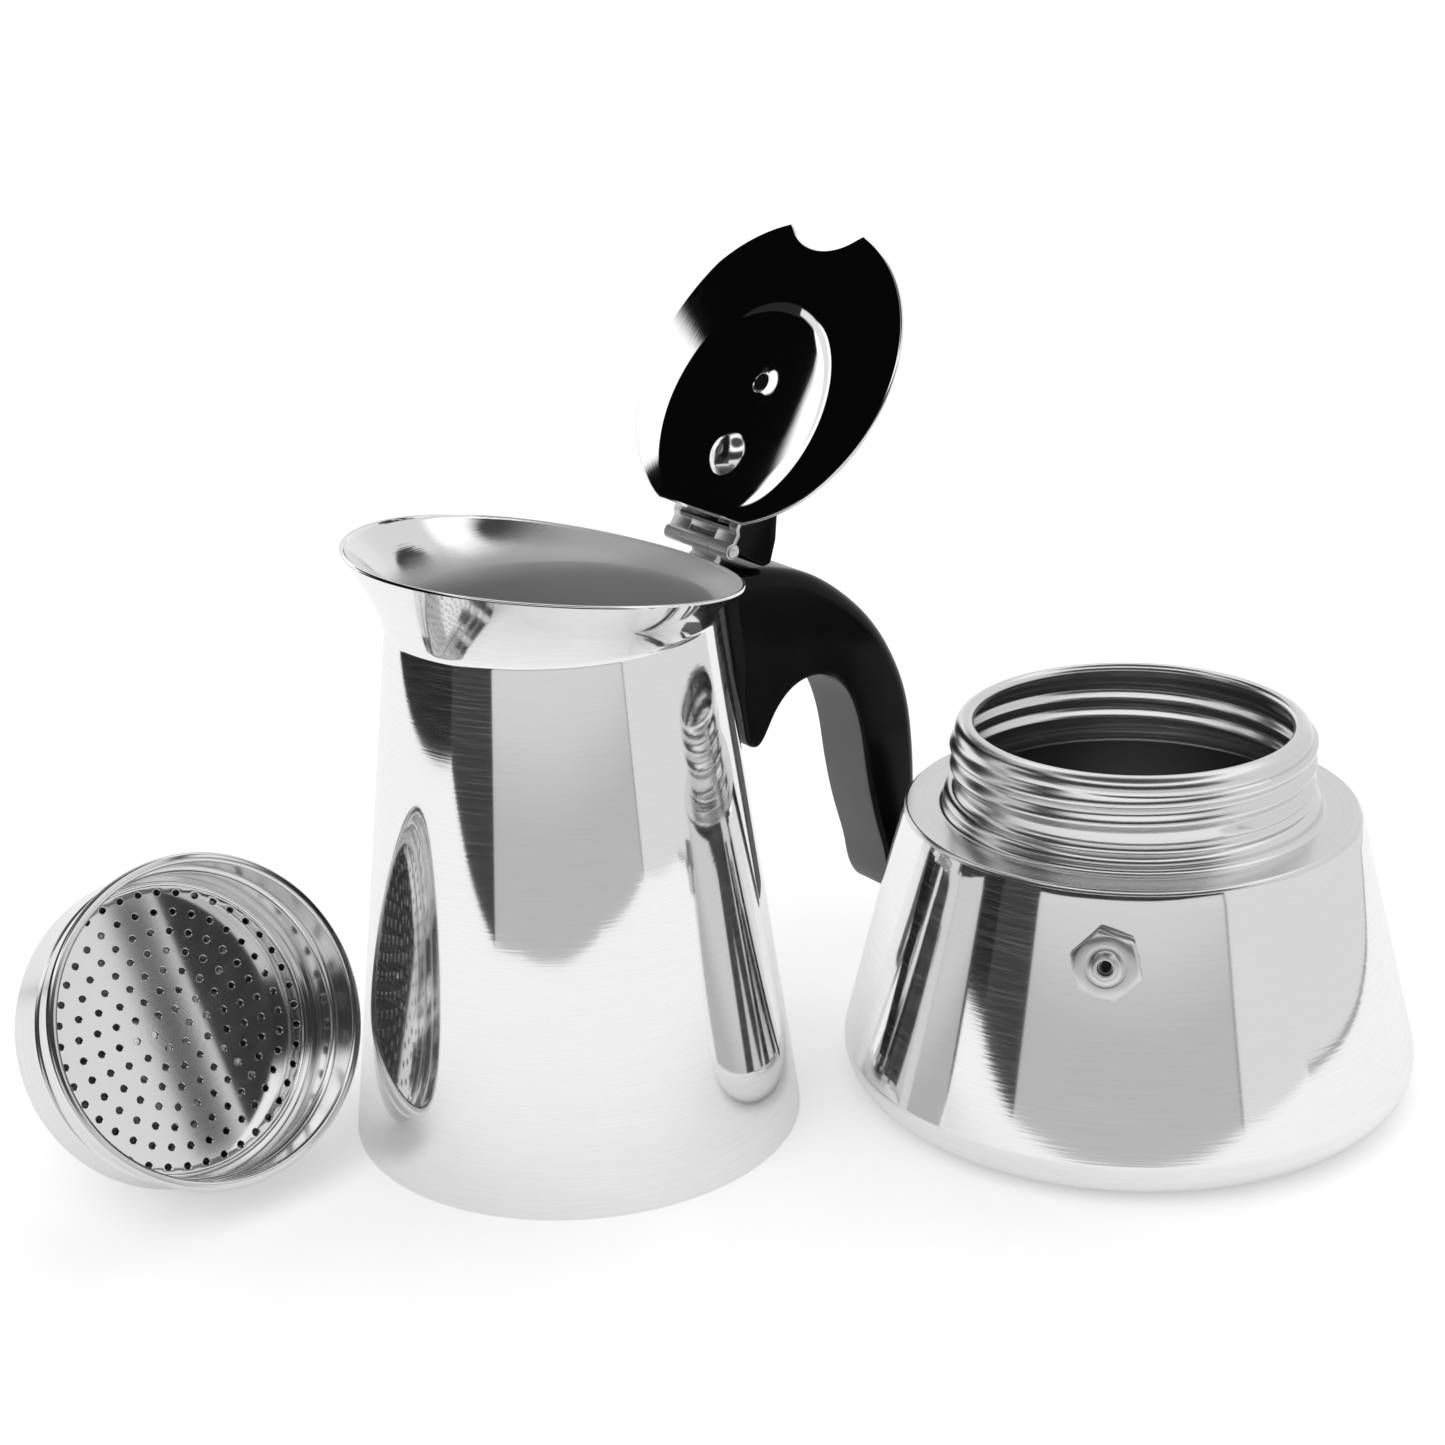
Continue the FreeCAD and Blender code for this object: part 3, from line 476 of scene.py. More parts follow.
def jug_inside():
    """Matte in the body of the jug, polished towards the rim, except by the spout."""
    made, tree = new_material("jug_inside")
    point = object_point(tree)
    height = add(tree, "SeparateXYZ", Vector=point).outputs[2]
    to_handle = (JUG.to_3x3() @ Vector((1, 0, 0))).normalized()
    along = dot(tree, vector(tree, "SUBTRACT", point, JUG.translation * MM), to_handle)
    cloud = noise(tree, point, 60.0, 3.0)
    fine = turned_lines(tree, JUG, 2600.0, 45.0)
    wander = calc(tree, "MULTIPLY", calc(tree, "SUBTRACT", cloud, 0.5), 0.006)
    level = calc(tree, "ADD", height, wander)
    far_side = without(tree, between(tree, calc(tree, "ADD", along, wander), 0.010, 0.026))
    polish = both(tree, between(tree, level, 0.1010, 0.1070), far_side)
    matte = spread(tree, fine, 0.40, 0.50)
    mirror = spread(tree, fine, 0.03, 0.08)
    gloss = mixed(tree, polish, matte, mirror)
    tone = mixed(tree, polish, spread(tree, cloud, 0.50, 0.56), spread(tree, cloud, 0.86, 0.92))
    colour = add(tree, "CombineXYZ", X=tone, Y=tone, Z=tone).outputs[0]
    metallic = mixed(tree, polish, 0.35, 1.0)
    finish_material(tree, coat(tree, colour, gloss, fine, 0.15, metallic=metallic))
    return made


def black_plastic():
    """Black with a fine grain, with a painted reflection: pale grey on the face that looks at the jug."""
    made, tree = new_material("black_plastic")
    point = object_point(tree)
    cloud = noise(tree, point, 55.0, 3.0)
    peel = noise(tree, point, 420.0, 2.0)
    black = tinted(tree, cloud, (0.0025,) * 3, (0.005, 0.005, 0.0055))
    # Painted reflection: this pale grey, laid on the faces turned to the jug, stands in for the bright
    # jug and floor that they mirror.
    pale = (0.19, 0.19, 0.192, 1)
    toward_jug = -(JUG.to_3x3() @ Vector((0.97, 0, 0.24))).normalized()
    inner = between(tree, dot(tree, add(tree, "TexCoord").outputs["Normal"], toward_jug), 0.80, 0.93)
    colour = add(tree, "Mix", {"data_type": "RGBA"}, i0=inner, i6=black, i7=pale).outputs[2]
    gloss = mixed(tree, inner, spread(tree, cloud, 0.16, 0.28), 0.42)
    shader = coat(tree, colour, gloss, peel, 0.05, depth=0.0002)
    shader.inputs["Specular IOR Level"].default_value = 0.14
    finish_material(tree, shader)
    return made


def rubber():
    made, tree = new_material("gasket_rubber")
    point = object_point(tree)
    cloud = noise(tree, point, 120.0, 4.0)
    grain = noise(tree, point, 1800.0, 2.0)
    colour = tinted(tree, cloud, (0.50, 0.48, 0.44), (0.60, 0.58, 0.54))
    gloss = spread(tree, grain, 0.5, 0.75)
    finish_material(tree, coat(tree, colour, gloss, grain, 0.25, depth=0.0001))
    return made


# ---- boiler ----
def bowl_side(shrink, z0, top_z):
    """Half outline of the boiler from its foot up, drawn in by the sheet thickness."""
    wall = shrink / cos(LEAN)
    wide = BOILER_R - wall
    foot = FOOT_R - 0.6 * wall
    mid = (foot + (wide - foot) * 0.78, z0 + (BOILER_WIDE_Z - z0) * 0.33)
    bend = [(boiler_r(z) - wall - SHELL_BEND * (z - SHELL_BEND_Z) ** 2, z)
            for z in evenly(SHELL_BEND_Z, top_z, 8)[1:]]
    side = outline((0, z0), [(foot, z0), (*mid, wide, BOILER_WIDE_Z),
                             (boiler_r(SHELL_BEND_Z) - wall, SHELL_BEND_Z)], 0.35)
    return side + bend


def boiler_shell():
    outer = bowl_side(0, HEAT_DISC_T, SHOULDER_Z)
    inner = bowl_side(SHEET, HEAT_DISC_T + SHEET, SHOULDER_Z)
    return lathe(outer + inner[::-1])


def heat_disc():
    c, top, r = 0.4, HEAT_DISC_T, FOOT_R
    profile = outline((0, 0), [
        (r - c - 3, 0), (r - c, 0), (r - c / 3, c / 3, r, c), (r, top), (0, top)])
    return lathe(profile)


def thread(angle, z):
    """How far the thread stands out at an angle and height, from 0 to its depth."""
    start = SHOULDER_Z + THREAD_START_H
    share = ((angle - radians(THREAD_START_ANGLE)) / (2 * pi)) % 1.0
    best = 0.0
    for k in range(int(THREAD_TURNS) + 1):
        t = share + k
        if t > THREAD_TURNS:
            break
        d = abs(z - start - THREAD_PITCH * t)
        if d < THREAD_PITCH / 2:
            fade = smooth(min(1.0, t / 0.05) * min(1.0, (THREAD_TURNS - t) / 0.1))
            best = max(best, THREAD_DEPTH * fade * cos(pi * d / THREAD_PITCH) ** 1.5)
    return best


def neck_rows():
    """Profile of the neck, each point with whether it carries the thread."""
    z, step = SHOULDER_Z, NECK_STEP_R
    foot, top = z + NECK_STEP_H, z + NECK_H
    roll, wall_in = top - RIM_ROLL_H, NECK_R - SHEET
    flange = outline((SHOULDER_R - 0.2, z), [
        (SHOULDER_R - 0.42, z + SHEET - 0.32, SHOULDER_R - 0.8, z + SHEET), (step + 1.1, z + SHEET),
        (step + 0.4, z + SHEET + 0.2, step, z + 0.6 * NECK_STEP_H),
        (step - 0.5, foot - 0.5, step - 1.6, foot),
        (NECK_R + 0.15, foot + 0.5, NECK_R, foot + 1.8)])
    rim = outline((NECK_R, roll), [
        (NECK_R - 0.1, roll + 1.3, NECK_R - 1.7, top), (MOUTH_R + 0.5, top - 0.1, MOUTH_R, top - 0.9),
        (MOUTH_R + 0.15, top - 1.6, MOUTH_R + 0.9, top - 1.7),
        (wall_in - 0.9, roll + 0.6, wall_in, roll - 0.4)])
    under = outline((wall_in, foot + 1.4), [
        (wall_in + 0.2, foot, step - 1.8, foot - SHEET),
        (step - SHEET, z + 0.5 * NECK_STEP_H, step - SHEET + 0.1, z)])
    wall = [(NECK_R, h) for h in evenly(flange[-1][1], roll, 50)[1:-1]]
    back = [(wall_in, h) for h in evenly(rim[-1][1], under[0][1], 50)[1:-1]]
    parts = [(flange, False), (wall, True), (rim, False), (back, True), (under, False)]
    return [(r, h, threaded) for part, threaded in parts for r, h in part]


def boiler_neck(count=320):
    return skin([[at(a, r + (thread(a, z) if threaded else 0.0), z) for a in turns(count)]
                 for r, z, threaded in neck_rows()])


# ---- safety valve, about its own axis ----
def hex_r(angle):
    return VALVE_HEX / 2 / cos((angle + pi / 6) % (pi / 3) - pi / 6)


def hex_ring(z_of, inset, count):
    """Ring along the hexagon, drawn in, with its height as a function of radius."""
    ring = []
    for a in turns(count):
        r = hex_r(a - radians(VALVE_TURN) + pi / 6)
        r = min(r, VALVE_HEX / sqrt(3) - 0.12) - inset
        ring.append(at(a, r, z_of(r)))
    return ring


def valve_body(count=240):
    base = VALVE_STAND
    top = base + VALVE_HEX_H
    boss_top = top + VALVE_BOSS_H
    flat_r = VALVE_HEX / 2 - 0.3
    corner = VALVE_HEX / sqrt(3)

    def chamfer(r):
        return top - max(0.0, r - flat_r) / (corner - flat_r)

    levels = [(lambda r: base, 0.15), (lambda r: base + 0.15, 0.0), (lambda r: chamfer(r) - 0.2, 0.0),
              (lambda r: chamfer(r) - 0.06, 0.03), (chamfer, 0.16)]
    boss = outline((VALVE_BOSS_R + 1.25, top), [
        (VALVE_BOSS_R + 0.2, top + 0.1, VALVE_BOSS_R - 0.35, top + 0.7),
        (VALVE_BOSS_R - 0.45, boss_top - 0.1, VALVE_BOSS_R - 0.65, boss_top),
        (VALVE_HOLE_R + 0.25, boss_top),
        (VALVE_HOLE_R + 0.06, boss_top - 0.06, VALVE_HOLE_R, boss_top - 0.25)], 0.12)
    shank = [(VALVE_SHANK_R, base - VALVE_SHANK_L), (VALVE_SHANK_R, base)]
    face = [(flat_r - 0.1, top), (VALVE_BOSS_R + 1.4, top)]
    bore = [(VALVE_HOLE_R, top - 1), (VALVE_BORE_R, top - 1), (VALVE_BORE_R, base - VALVE_SHANK_L)]
    rings = [circle(r, z, count) for r, z in shank]
    rings += [hex_ring(z_of, inset, count) for z_of, inset in levels]
    return skin(rings + [circle(r, z, count) for r, z in face + boss + bore])


# ---- jug, about its own axis with the handle along +X ----
def jug_r(z):
    return JUG_R + (CREASE_R - JUG_R) * z / CREASE_Z


def rim_r(a):
    return RIM_MEAN_R + sum(c * cos((k + 1) * a) for k, c in enumerate(RIM_COS))


def rim_z(u):
    return FLARE_Z + FLARE_SLOPE * u + FLARE_BOW * u * u


def flare_rise(u):
    """Height of the flare over the crease, higher towards the spout."""
    return FLARE_Z + 1.2 - CREASE_Z + FLARE_SLOPE * u


def flare_point(a, share, inset):
    """A point of the flare: share 0 is the crease and 1 the rim."""
    edge = rim_r(a)
    full = (rim_z(edge * cos(a)) - RIM_DROP - CREASE_Z) / flare_rise(edge * cos(a))
    opening = 0.55 * share + 0.45 * share ** 2.2
    r = CREASE_R - inset + (edge - CREASE_R) * opening
    return at(a, r, CREASE_Z + share * full * flare_rise(r * cos(a)))


def jug_column(a):
    """All points of the jug's wall at one angle, outside up and inside down."""
    wall = SHEET / cos(atan2(JUG_R - CREASE_R, CREASE_Z))
    foot_z, cone_z = 0.4, 0.6
    outside = outline((JUG_R - wall / 2, 0), [(JUG_R - 0.15, 0.1, jug_r(foot_z), foot_z)], 0.15)
    outside += [(jug_r(z), z) for z in evenly(cone_z, CREASE_Z - 0.8, 30)]
    inside = [(jug_r(z) - wall, z) for z in evenly(CREASE_Z - 3.1, cone_z, 26)]
    inside += outline((jug_r(foot_z) - wall, foot_z),
                      [(JUG_R - wall + 0.15, 0.1, JUG_R - wall / 2, 0)], 0.15)[:-1]
    outer = [flare_point(a, share, 0.0) for share in evenly(0.09, 1.0, 22)]
    inner = [flare_point(a, share, SHEET * FLARE_SHARE) for share in evenly(0.20, 1.0, 20)]
    column = [at(a, r, z) for r, z in outside]
    column += crease_bend(a, inset=0.0, down=0.55, share=0.06, steps=6)
    column += outer + rolled_edge(outer[-1], inner[-1], outer[-2]) + inner[::-1]
    column += crease_bend(a, inset=wall, down=2.6, share=0.17, steps=12)[::-1]
    return column + [at(a, r, z) for r, z in inside]


def crease_bend(a, inset, down, share, steps):
    """Rounding from a height below the crease to a share of the flare."""
    start = Vector(at(a, jug_r(CREASE_Z - down) - inset, CREASE_Z - down))
    corner = Vector(at(a, CREASE_R - inset, CREASE_Z))
    end = Vector(flare_point(a, share, inset * FLARE_SHARE))
    return [tuple(start * (1 - s) ** 2 + corner * 2 * s * (1 - s) + end * s * s)
            for s in evenly(0.0, 1.0, steps)]


def rolled_edge(outer, inner, before):
    """Half circle over the sheet's edge, from its outer to its inner face."""
    outer, inner = Vector(outer), Vector(inner)
    middle = (outer + inner) / 2
    half = outer - middle
    along = (outer - Vector(before)).normalized()
    along = (along - half.normalized() * along.dot(half.normalized())).normalized()
    steps = 7
    return [tuple(middle + half * cos(pi * k / steps) + along * half.length * sin(pi * k / steps))
            for k in range(1, steps)]


def jug_body(count=AROUND):
    columns = [jug_column(a) for a in turns(count)]
    rings = [[columns[k][i] for k in range(count)] for i in range(len(columns[0]))]
    return skin(rings)


# ---- handle ----
def grip_curve(count=6):
    """Closed smooth curve through the grip's outline, its inward directions and its insets."""
    n = len(GRIP)
    points = np.array([(u + CREASE_R, z + CREASE_Z) for u, z in GRIP])
    gaps = np.linalg.norm(np.roll(points, -1, 0) - points, axis=1)
    before = np.roll(gaps, 1)
    # Periodic cubic spline: second derivatives from one linear system.
    system = np.zeros((n, n))
    right = np.zeros((n, 2))
    for k in range(n):
        system[k, k - 1] += before[k]
        system[k, k] += 2 * (before[k] + gaps[k])
        system[k, (k + 1) % n] += gaps[k]
        slope = (points[(k + 1) % n] - points[k]) / gaps[k]
        right[k] = 6 * (slope - (points[k] - points[k - 1]) / before[k])
    bend = np.linalg.solve(system, right)
    curve, insets = [], []
    for k in range(n):
        k2 = (k + 1) % n
        for j in range(count):
            b = j / count
            a = 1 - b
            curve.append(a * points[k] + b * points[k2]
                         + ((a ** 3 - a) * bend[k] + (b ** 3 - b) * bend[k2]) * gaps[k] ** 2 / 6)
            insets.append(a * grip_inset(k) + b * grip_inset(k2))
    curve = np.array(curve)
    ahead = np.roll(curve, -1, 0) - np.roll(curve, 1, 0)
    size = np.linalg.norm(ahead, axis=1)
    inward = np.stack([ahead[:, 1] / size, -ahead[:, 0] / size], 1)
    return curve, inward, np.array(insets)


def grip_inset(k):
    """How far the rounding of the long edges reaches in, at a point of the outline."""
    out, up = GRIP[k]
    for below, within, share in NARROW:
        if up < below and out < within:
            return share * HANDLE_EDGE
    return HANDLE_EDGE


def half_width(u):
    root, end = 4.0, 50.0
    return HANDLE_W / 2 - (HANDLE_W - TIP_W) / 2 * (u - CREASE_R - root) / (end - root)


def handle():
    """The grip: flat sides with rounded long edges."""
    curve, inward, inset = grip_curve()
    rings = []
    steps = [90 * (1 - k / 10) for k in range(11)]
    for side in (-1, 1):
        for angle in (steps if side < 0 else steps[::-1]):
            move_in = inset * (1 - cos(radians(angle)))
            flat = curve + inward * move_in[:, None]
            drop = inset * (1 - sin(radians(angle)))
            rings.append([(u, side * (half_width(u) - d), z) for (u, z), d in zip(flat, drop)])
    sides = [side_cap(ring) for ring in (rings[0], rings[-1])]
    return joined(skin(rings, loop=False), *sides)


def side_cap(ring):
    """Fills one flat side of the grip inside a ring."""
    edge = [Vector((u, z)) for u, _, z in ring]
    filled = delaunay_2d_cdt(edge, [], [list(range(len(edge)))], 1, 1e-5)
    side = 1 if ring[0][1] > 0 else -1
    return [(p.x, side * half_width(p.x), p.y) for p in filled[0]], filled[2]


# ---- hinge and lid, drawn flat: X from the lid's centre to the spout, Z out of the pot ----
def lid_edge(a):
    """Distance from the centre hole to the lid's outline in a direction."""
    ca, sa = cos(a), sin(a)
    x0 = LID_HOLE_W
    qa = (ca / LID_RW) ** 2 + (sa / LID_RV) ** 2
    qb = x0 * ca / LID_RW ** 2
    qc = (x0 / LID_RW) ** 2 - 1
    reach = (-qb + sqrt(qb * qb - qa * qc)) / qa
    if ca < -1e-6:
        reach = min(reach, (LID_CUT_W - x0) / ca)
    gap = NOTCH_W + NOTCH_R - x0
    inside = NOTCH_R ** 2 - (gap * sa) ** 2
    if ca > 0 and inside > 0:
        reach = min(reach, gap * ca - sqrt(inside))
    return reach


def lid_angles(count=300):
    """Evenly spread directions, with extra ones at the outline's corners."""
    angles = turns(count)
    corners = []
    previous = lid_edge(0)
    trail = 4000
    for k in range(1, trail):
        a = 2 * pi * k / trail
        here, after = lid_edge(a), lid_edge(a + 2 * pi / trail)
        if abs((after - here) - (here - previous)) > 0.004 * here:
            corners.append(a)
        previous = here
    for a in corners:
        angles += [a - 0.004, a, a + 0.004]
    return sorted(angles)


def dome(x, y, side=-1):
    """Height of a face of the lid's sheet: a low cone outside a pressed circle, dished below."""
    out = hypot(x - RAISE_W, y)
    slope = SLOPE_ABOVE if side > 0 else SLOPE_BELOW
    ramp = smooth(min(1.0, max(0.0, (RAISE_R + 0.3 - out) / slope)))
    cone = LID_CONE * (max(out, RAISE_R) - LID_CONE_R)
    hole = hypot(x - LID_HOLE_W, y)
    dimple = DIMPLE * max(0.0, 1 - (hole - LID_HOLE_R) / DIMPLE_W) ** 2
    level = RAISE
    if side < 0:
        level = LID_STEP + LID_DISH * max(0.0, 1 - (out / RAISE_R) ** 3)
    return level * ramp + cone * (1 - ramp) + dimple + side * LID_SHEET / 2


def lid_disc():
    angles = lid_angles()
    half = LID_SHEET / 2
    plan = []
    for a in angles:
        edge = lid_edge(a) - half
        reach = [LID_INNER_R + (edge - LID_INNER_R) * s for s in lid_shares(a, edge)]
        plan.append([(LID_HOLE_W + r * cos(a), r * sin(a)) for r in reach])
    count = len(plan[0])
    rings = [[(*p[i], dome(*p[i], 1)) for p in plan] for i in range(count)]
    for angle in (60, 30, 0, -30, -60):
        rings.append([edge_point(a, p[-1], angle, half) for a, p in zip(angles, plan)])
    rings += [[(*p[i], dome(*p[i])) for p in plan] for i in reversed(range(count))]
    for share, wider in ((0.03, 0.06), (0.12, 0.0), (0.88, 0.0), (0.97, 0.06)):
        r = LID_HOLE_R + wider
        ring = []
        for a in angles:
            x, y = LID_HOLE_W + r * cos(a), r * sin(a)
            low, high = dome(x, y), dome(x, y, 1)
            ring.append((x, y, low + (high - low) * share))
        rings.append(ring)
    return skin(rings)


def edge_point(a, last, angle, half):
    """A point of the lid's half round edge, beyond the last point of its faces."""
    x, y = last
    z = (dome(x, y) + dome(x, y, 1)) / 2
    out = half * cos(radians(angle))
    return (x + out * cos(a), y + out * sin(a), z + half * sin(radians(angle)))


def lid_shares(a, edge):
    """Shares of the way out, gathered where the ray crosses the pressed circle's slope."""
    dx = LID_HOLE_W - RAISE_W
    ca = cos(a)
    found = []
    for r in [RAISE_R + 0.6 - 0.2 * k for k in range(12)]:
        reach = -dx * ca + sqrt(max(0.0, (dx * ca) ** 2 - dx * dx + r * r))
        found.append((reach - LID_INNER_R) / (edge - LID_INNER_R))
    shift = min(0.0, 0.99 - found[0])
    found = [f + shift for f in found]
    low, high = found[-1], found[0]
    inner = [low * s for s in (0, 0.02, 0.05, 0.1, 0.18, 0.28, 0.4, 0.52, 0.64, 0.76, 0.86, 0.94)]
    outer = [high + (1 - high) * s for s in (0.1, 0.25, 0.45, 0.65, 0.82, 0.93, 1.0)]
    return inner + found[::-1] + outer


def lid_screw():
    low = SHEET_LOW - LID_SCREW_HEAD_H
    r = LID_SCREW_HEAD_R
    profile = outline((0, SHEET_LOW + 6.0), [
        (LID_SCREW_R - 0.3, SHEET_LOW + 6.0), (LID_SCREW_R, SHEET_LOW + 5.7), (LID_SCREW_R, SHEET_LOW),
        (r - 0.1, SHEET_LOW), (r, SHEET_LOW - 0.1), (r, SHEET_LOW - 0.55), (r - 0.12, SHEET_LOW - 0.7),
        (r * 0.72, SHEET_LOW - LID_SCREW_HEAD_H * 0.74, 0.7, low), (0, low)], 0.15)
    return shifted(lathe(profile, 128), move(LID_SCREW_W, 0, 0))


def lid_knob():
    clear = PIN_N + KNUCKLE_R + 0.5
    back = PIN_W + 0.4
    points = [(LID_CUT_W - 1.2, SHEET_TOP), (LID_CUT_W - 2.6, clear), (back, clear + 0.3),
              (back, KNOB_TOP - 1.2), (back + 1.2, KNOB_TOP), (PIN_W + 6, KNOB_TOP - 1.2),
              (PIN_W + 10, KNOB_TOP - 3.2), (PIN_W + 20, KNOB_TOP - 7.4), (PIN_W + 30, KNOB_TOP - 10.6),
              (LID_HOLE_W + 5.2, SHEET_TOP + 0.9), (LID_HOLE_W + 5.6, SHEET_TOP)]
    body = slab(points, KNOB_W / 2, 0.55, 4)
    peg_r = LID_HOLE_R - SLIP
    peg = outline((0, SHEET_TOP + 0.5), [
        (peg_r, SHEET_TOP + 0.5), (peg_r, 0.75), (peg_r - 0.25, 0.5), (0, 0.5)])
    return joined(body, shifted(lathe(peg, 64), move(LID_HOLE_W, 0, 0)))


def leaf_outline(reach):
    """Section of the upper leaf: flat on the lid, stepped back past the lid's cut, up to a reach."""
    low, high, back = SHEET_TOP, SHEET_TOP + LEAF_T, 0.75
    bend = LID_CUT_W - 0.5
    points = [(reach, low + back), (bend - 1.2, low + back), (bend - 0.4, low + 0.1), (bend, low),
              (LEAF_END_W, low), (LEAF_END_W, high), (bend, high), (bend - 1.2, high + back)]
    return points + [(reach, high + back)]


def barrel(low, high):
    """One knuckle of the hinge, a tube with rounded ends."""
    hole, r, e = PIN_R + SLIP, KNUCKLE_R, 0.18
    profile = outline((hole, low), [
        (r - e, low), (r - 0.3 * e, low + 0.3 * e, r, low + e), (r, high - e),
        (r - 0.3 * e, high - 0.3 * e, r - e, high), (hole, high)], 0.08)
    return shifted(lathe(profile, 72), move(PIN_W, 0, PIN_N) @ turn(-90, "X"))


def upper_leaf():
    half = HINGE_W / 2
    gap = MIDDLE_W / 2 + SLIP
    width = (half - gap) / 2
    wing = slab(leaf_outline(PIN_W + 0.9), width, 0.12, 2)
    shapes = [shifted(wing, move(0, s * (half - width), 0)) for s in (-1, 1)]
    shapes.append(slab(leaf_outline(PIN_W + KNUCKLE_R + 0.9), gap + 0.12, 0.1, 2))
    shapes += [barrel(-half, -gap), barrel(gap, half)]
    return joined(*shapes)


def hinge_pin():
    half = HINGE_W / 2
    r, end = KNUCKLE_R - 0.3, half + 0.4
    profile = outline((0, -end), [
        (0.5, -end), (r - 0.1, -half - 0.3, r, -half), (PIN_R, -half), (PIN_R, half), (r, half),
        (r - 0.1, half + 0.3, 0.5, end), (0, end)], 0.15)
    return shifted(lathe(profile, 64), move(PIN_U, 0, PIN_Z) @ turn(-90, "X"))


# ---- funnel, about its own axis with the mouth up ----
def funnel_basket():
    t, c, r, g, d = FUNNEL_SHEET, BAND_CORNER, BAND_R, GROOVE_Z, GROOVE_DEPTH
    arc = sin(radians(45))
    low = BAND_H - BEAD_H
    profile = outline((r - c, 0), [
        (r - c + c * arc, c - c * arc, r, c), (r, g - 1.1), (r - d, g, r, g + 1.1), (r, low - 0.5),
        (r + 0.25, low - 0.1, r + 0.7, low + 0.1), (BEAD_R, BAND_H - BEAD_H / 2, r + 0.35, BAND_H - 0.02),
        (r - 0.25, BAND_H, r - t, BAND_H - 0.45),
        (r - t, g + 1.1), (r - d - t, g, r - t, g - 1.1), (r - t, c),
        (r - c + (c - t) * arc, c - (c - t) * arc, r - c, t)], 0.2)
    return lathe(profile)


def hole_centres():
    """Rings of holes, six more on each ring than on the one inside it."""
    spots = []
    for ring in range(1, HOLE_RINGS + 1):
        for k in range(6 * ring):
            a = 2 * pi * (k + 0.5 * (ring % 2)) / (6 * ring)
            spots.append((ring * HOLE_PITCH * cos(a), ring * HOLE_PITCH * sin(a)))
    return spots


def pierced_sheet(edge_r, z, t, rim=0.13, around=18, edge_count=AROUND):
    """Round sheet with a rounded hole at each centre, open at its outer edge."""
    centres, wide = hole_centres(), HOLE_R + rim
    points = [Vector((edge_r * cos(a), edge_r * sin(a))) for a in turns(edge_count)]
    faces_in = [list(range(edge_count))]
    for cx, cy in centres:
        start = len(points)
        points += [Vector((cx + wide * cos(-a), cy + wide * sin(-a))) for a in turns(around)]
        faces_in.append(list(range(start, start + around)))
    flat = delaunay_2d_cdt(points, [], faces_in, 2, 1e-6)
    spots, tris = flat[0], flat[2]
    keep = [tri for tri in tris if outside_holes(spots, tri, centres, wide)]
    top = ([(p.x, p.y, z + t) for p in spots], keep)
    low = ([(p.x, p.y, z) for p in spots], [tuple(reversed(f)) for f in keep])
    shapes = [top, low]
    lip = [(wide, t), (HOLE_R + 0.4 * rim, t - 0.3 * rim), (HOLE_R, t - rim), (HOLE_R, rim),
           (HOLE_R + 0.4 * rim, 0.3 * rim), (wide, 0.0)]
    for cx, cy in centres:
        rings = [[(cx + r * cos(-a), cy + r * sin(-a), z + h) for a in turns(around)]
                 for r, h in lip]
        shapes.append(skin(rings, loop=False))
    return joined(*shapes)


def outside_holes(spots, tri, centres, r):
    x = sum(spots[i].x for i in tri) / 3
    y = sum(spots[i].y for i in tri) / 3
    return all((x - cx) ** 2 + (y - cy) ** 2 > (r * 0.97) ** 2 for cx, cy in centres)


def funnel_plate():
    """Pierced sheet inside a plain border with a raised ridge."""
    r, z = BAND_R - FUNNEL_SHEET, PLATE_Z + FUNNEL_SHEET
    flat_r = r - SIEVE_BORDER
    border = outline((flat_r, z), [
        (r - 2.05, z + 0.05), (r - 1.6, z + 0.55, r - 1.05, z + 0.05),
        (r - 0.2, z), (r, z - 0.15), (r, PLATE_Z), (flat_r, PLATE_Z)], 0.12)
    rim = skin([circle(*point) for point in border], loop=False)
    return joined(pierced_sheet(flat_r, PLATE_Z, FUNNEL_SHEET), rim)


def funnel_cone():
    t = FUNNEL_SHEET
    wide = BAND_R - BAND_CORNER
    fit = STEM_R + t
    end = -CONE_H - COLLAR_L
    profile = outline((wide, 0), [
        (wide - 0.5, -0.05, wide - 1.2, -0.45), (fit + 1.5, -CONE_H + 0.35),
        (fit + 0.3, -CONE_H - 0.05, fit, -CONE_H - 0.9), (fit, end + 0.15), (fit - 0.15, end),
        (STEM_R, end), (STEM_R, -CONE_H + t), (wide - 1.4, t), (wide, t)])
    return lathe(profile)


def funnel_stem():
    r, t = STEM_R, FUNNEL_SHEET
    top = -CONE_H - 0.4
    profile = outline((r - t, -STEM_L + 0.2), [
        (r - t + 0.2, -STEM_L + 0.02, r - t / 2, -STEM_L), (r - 0.1, -STEM_L + 0.05, r, -STEM_L + 0.25),
        (r, top), (r - t, top)], 0.1)
    return lathe(profile, 128)


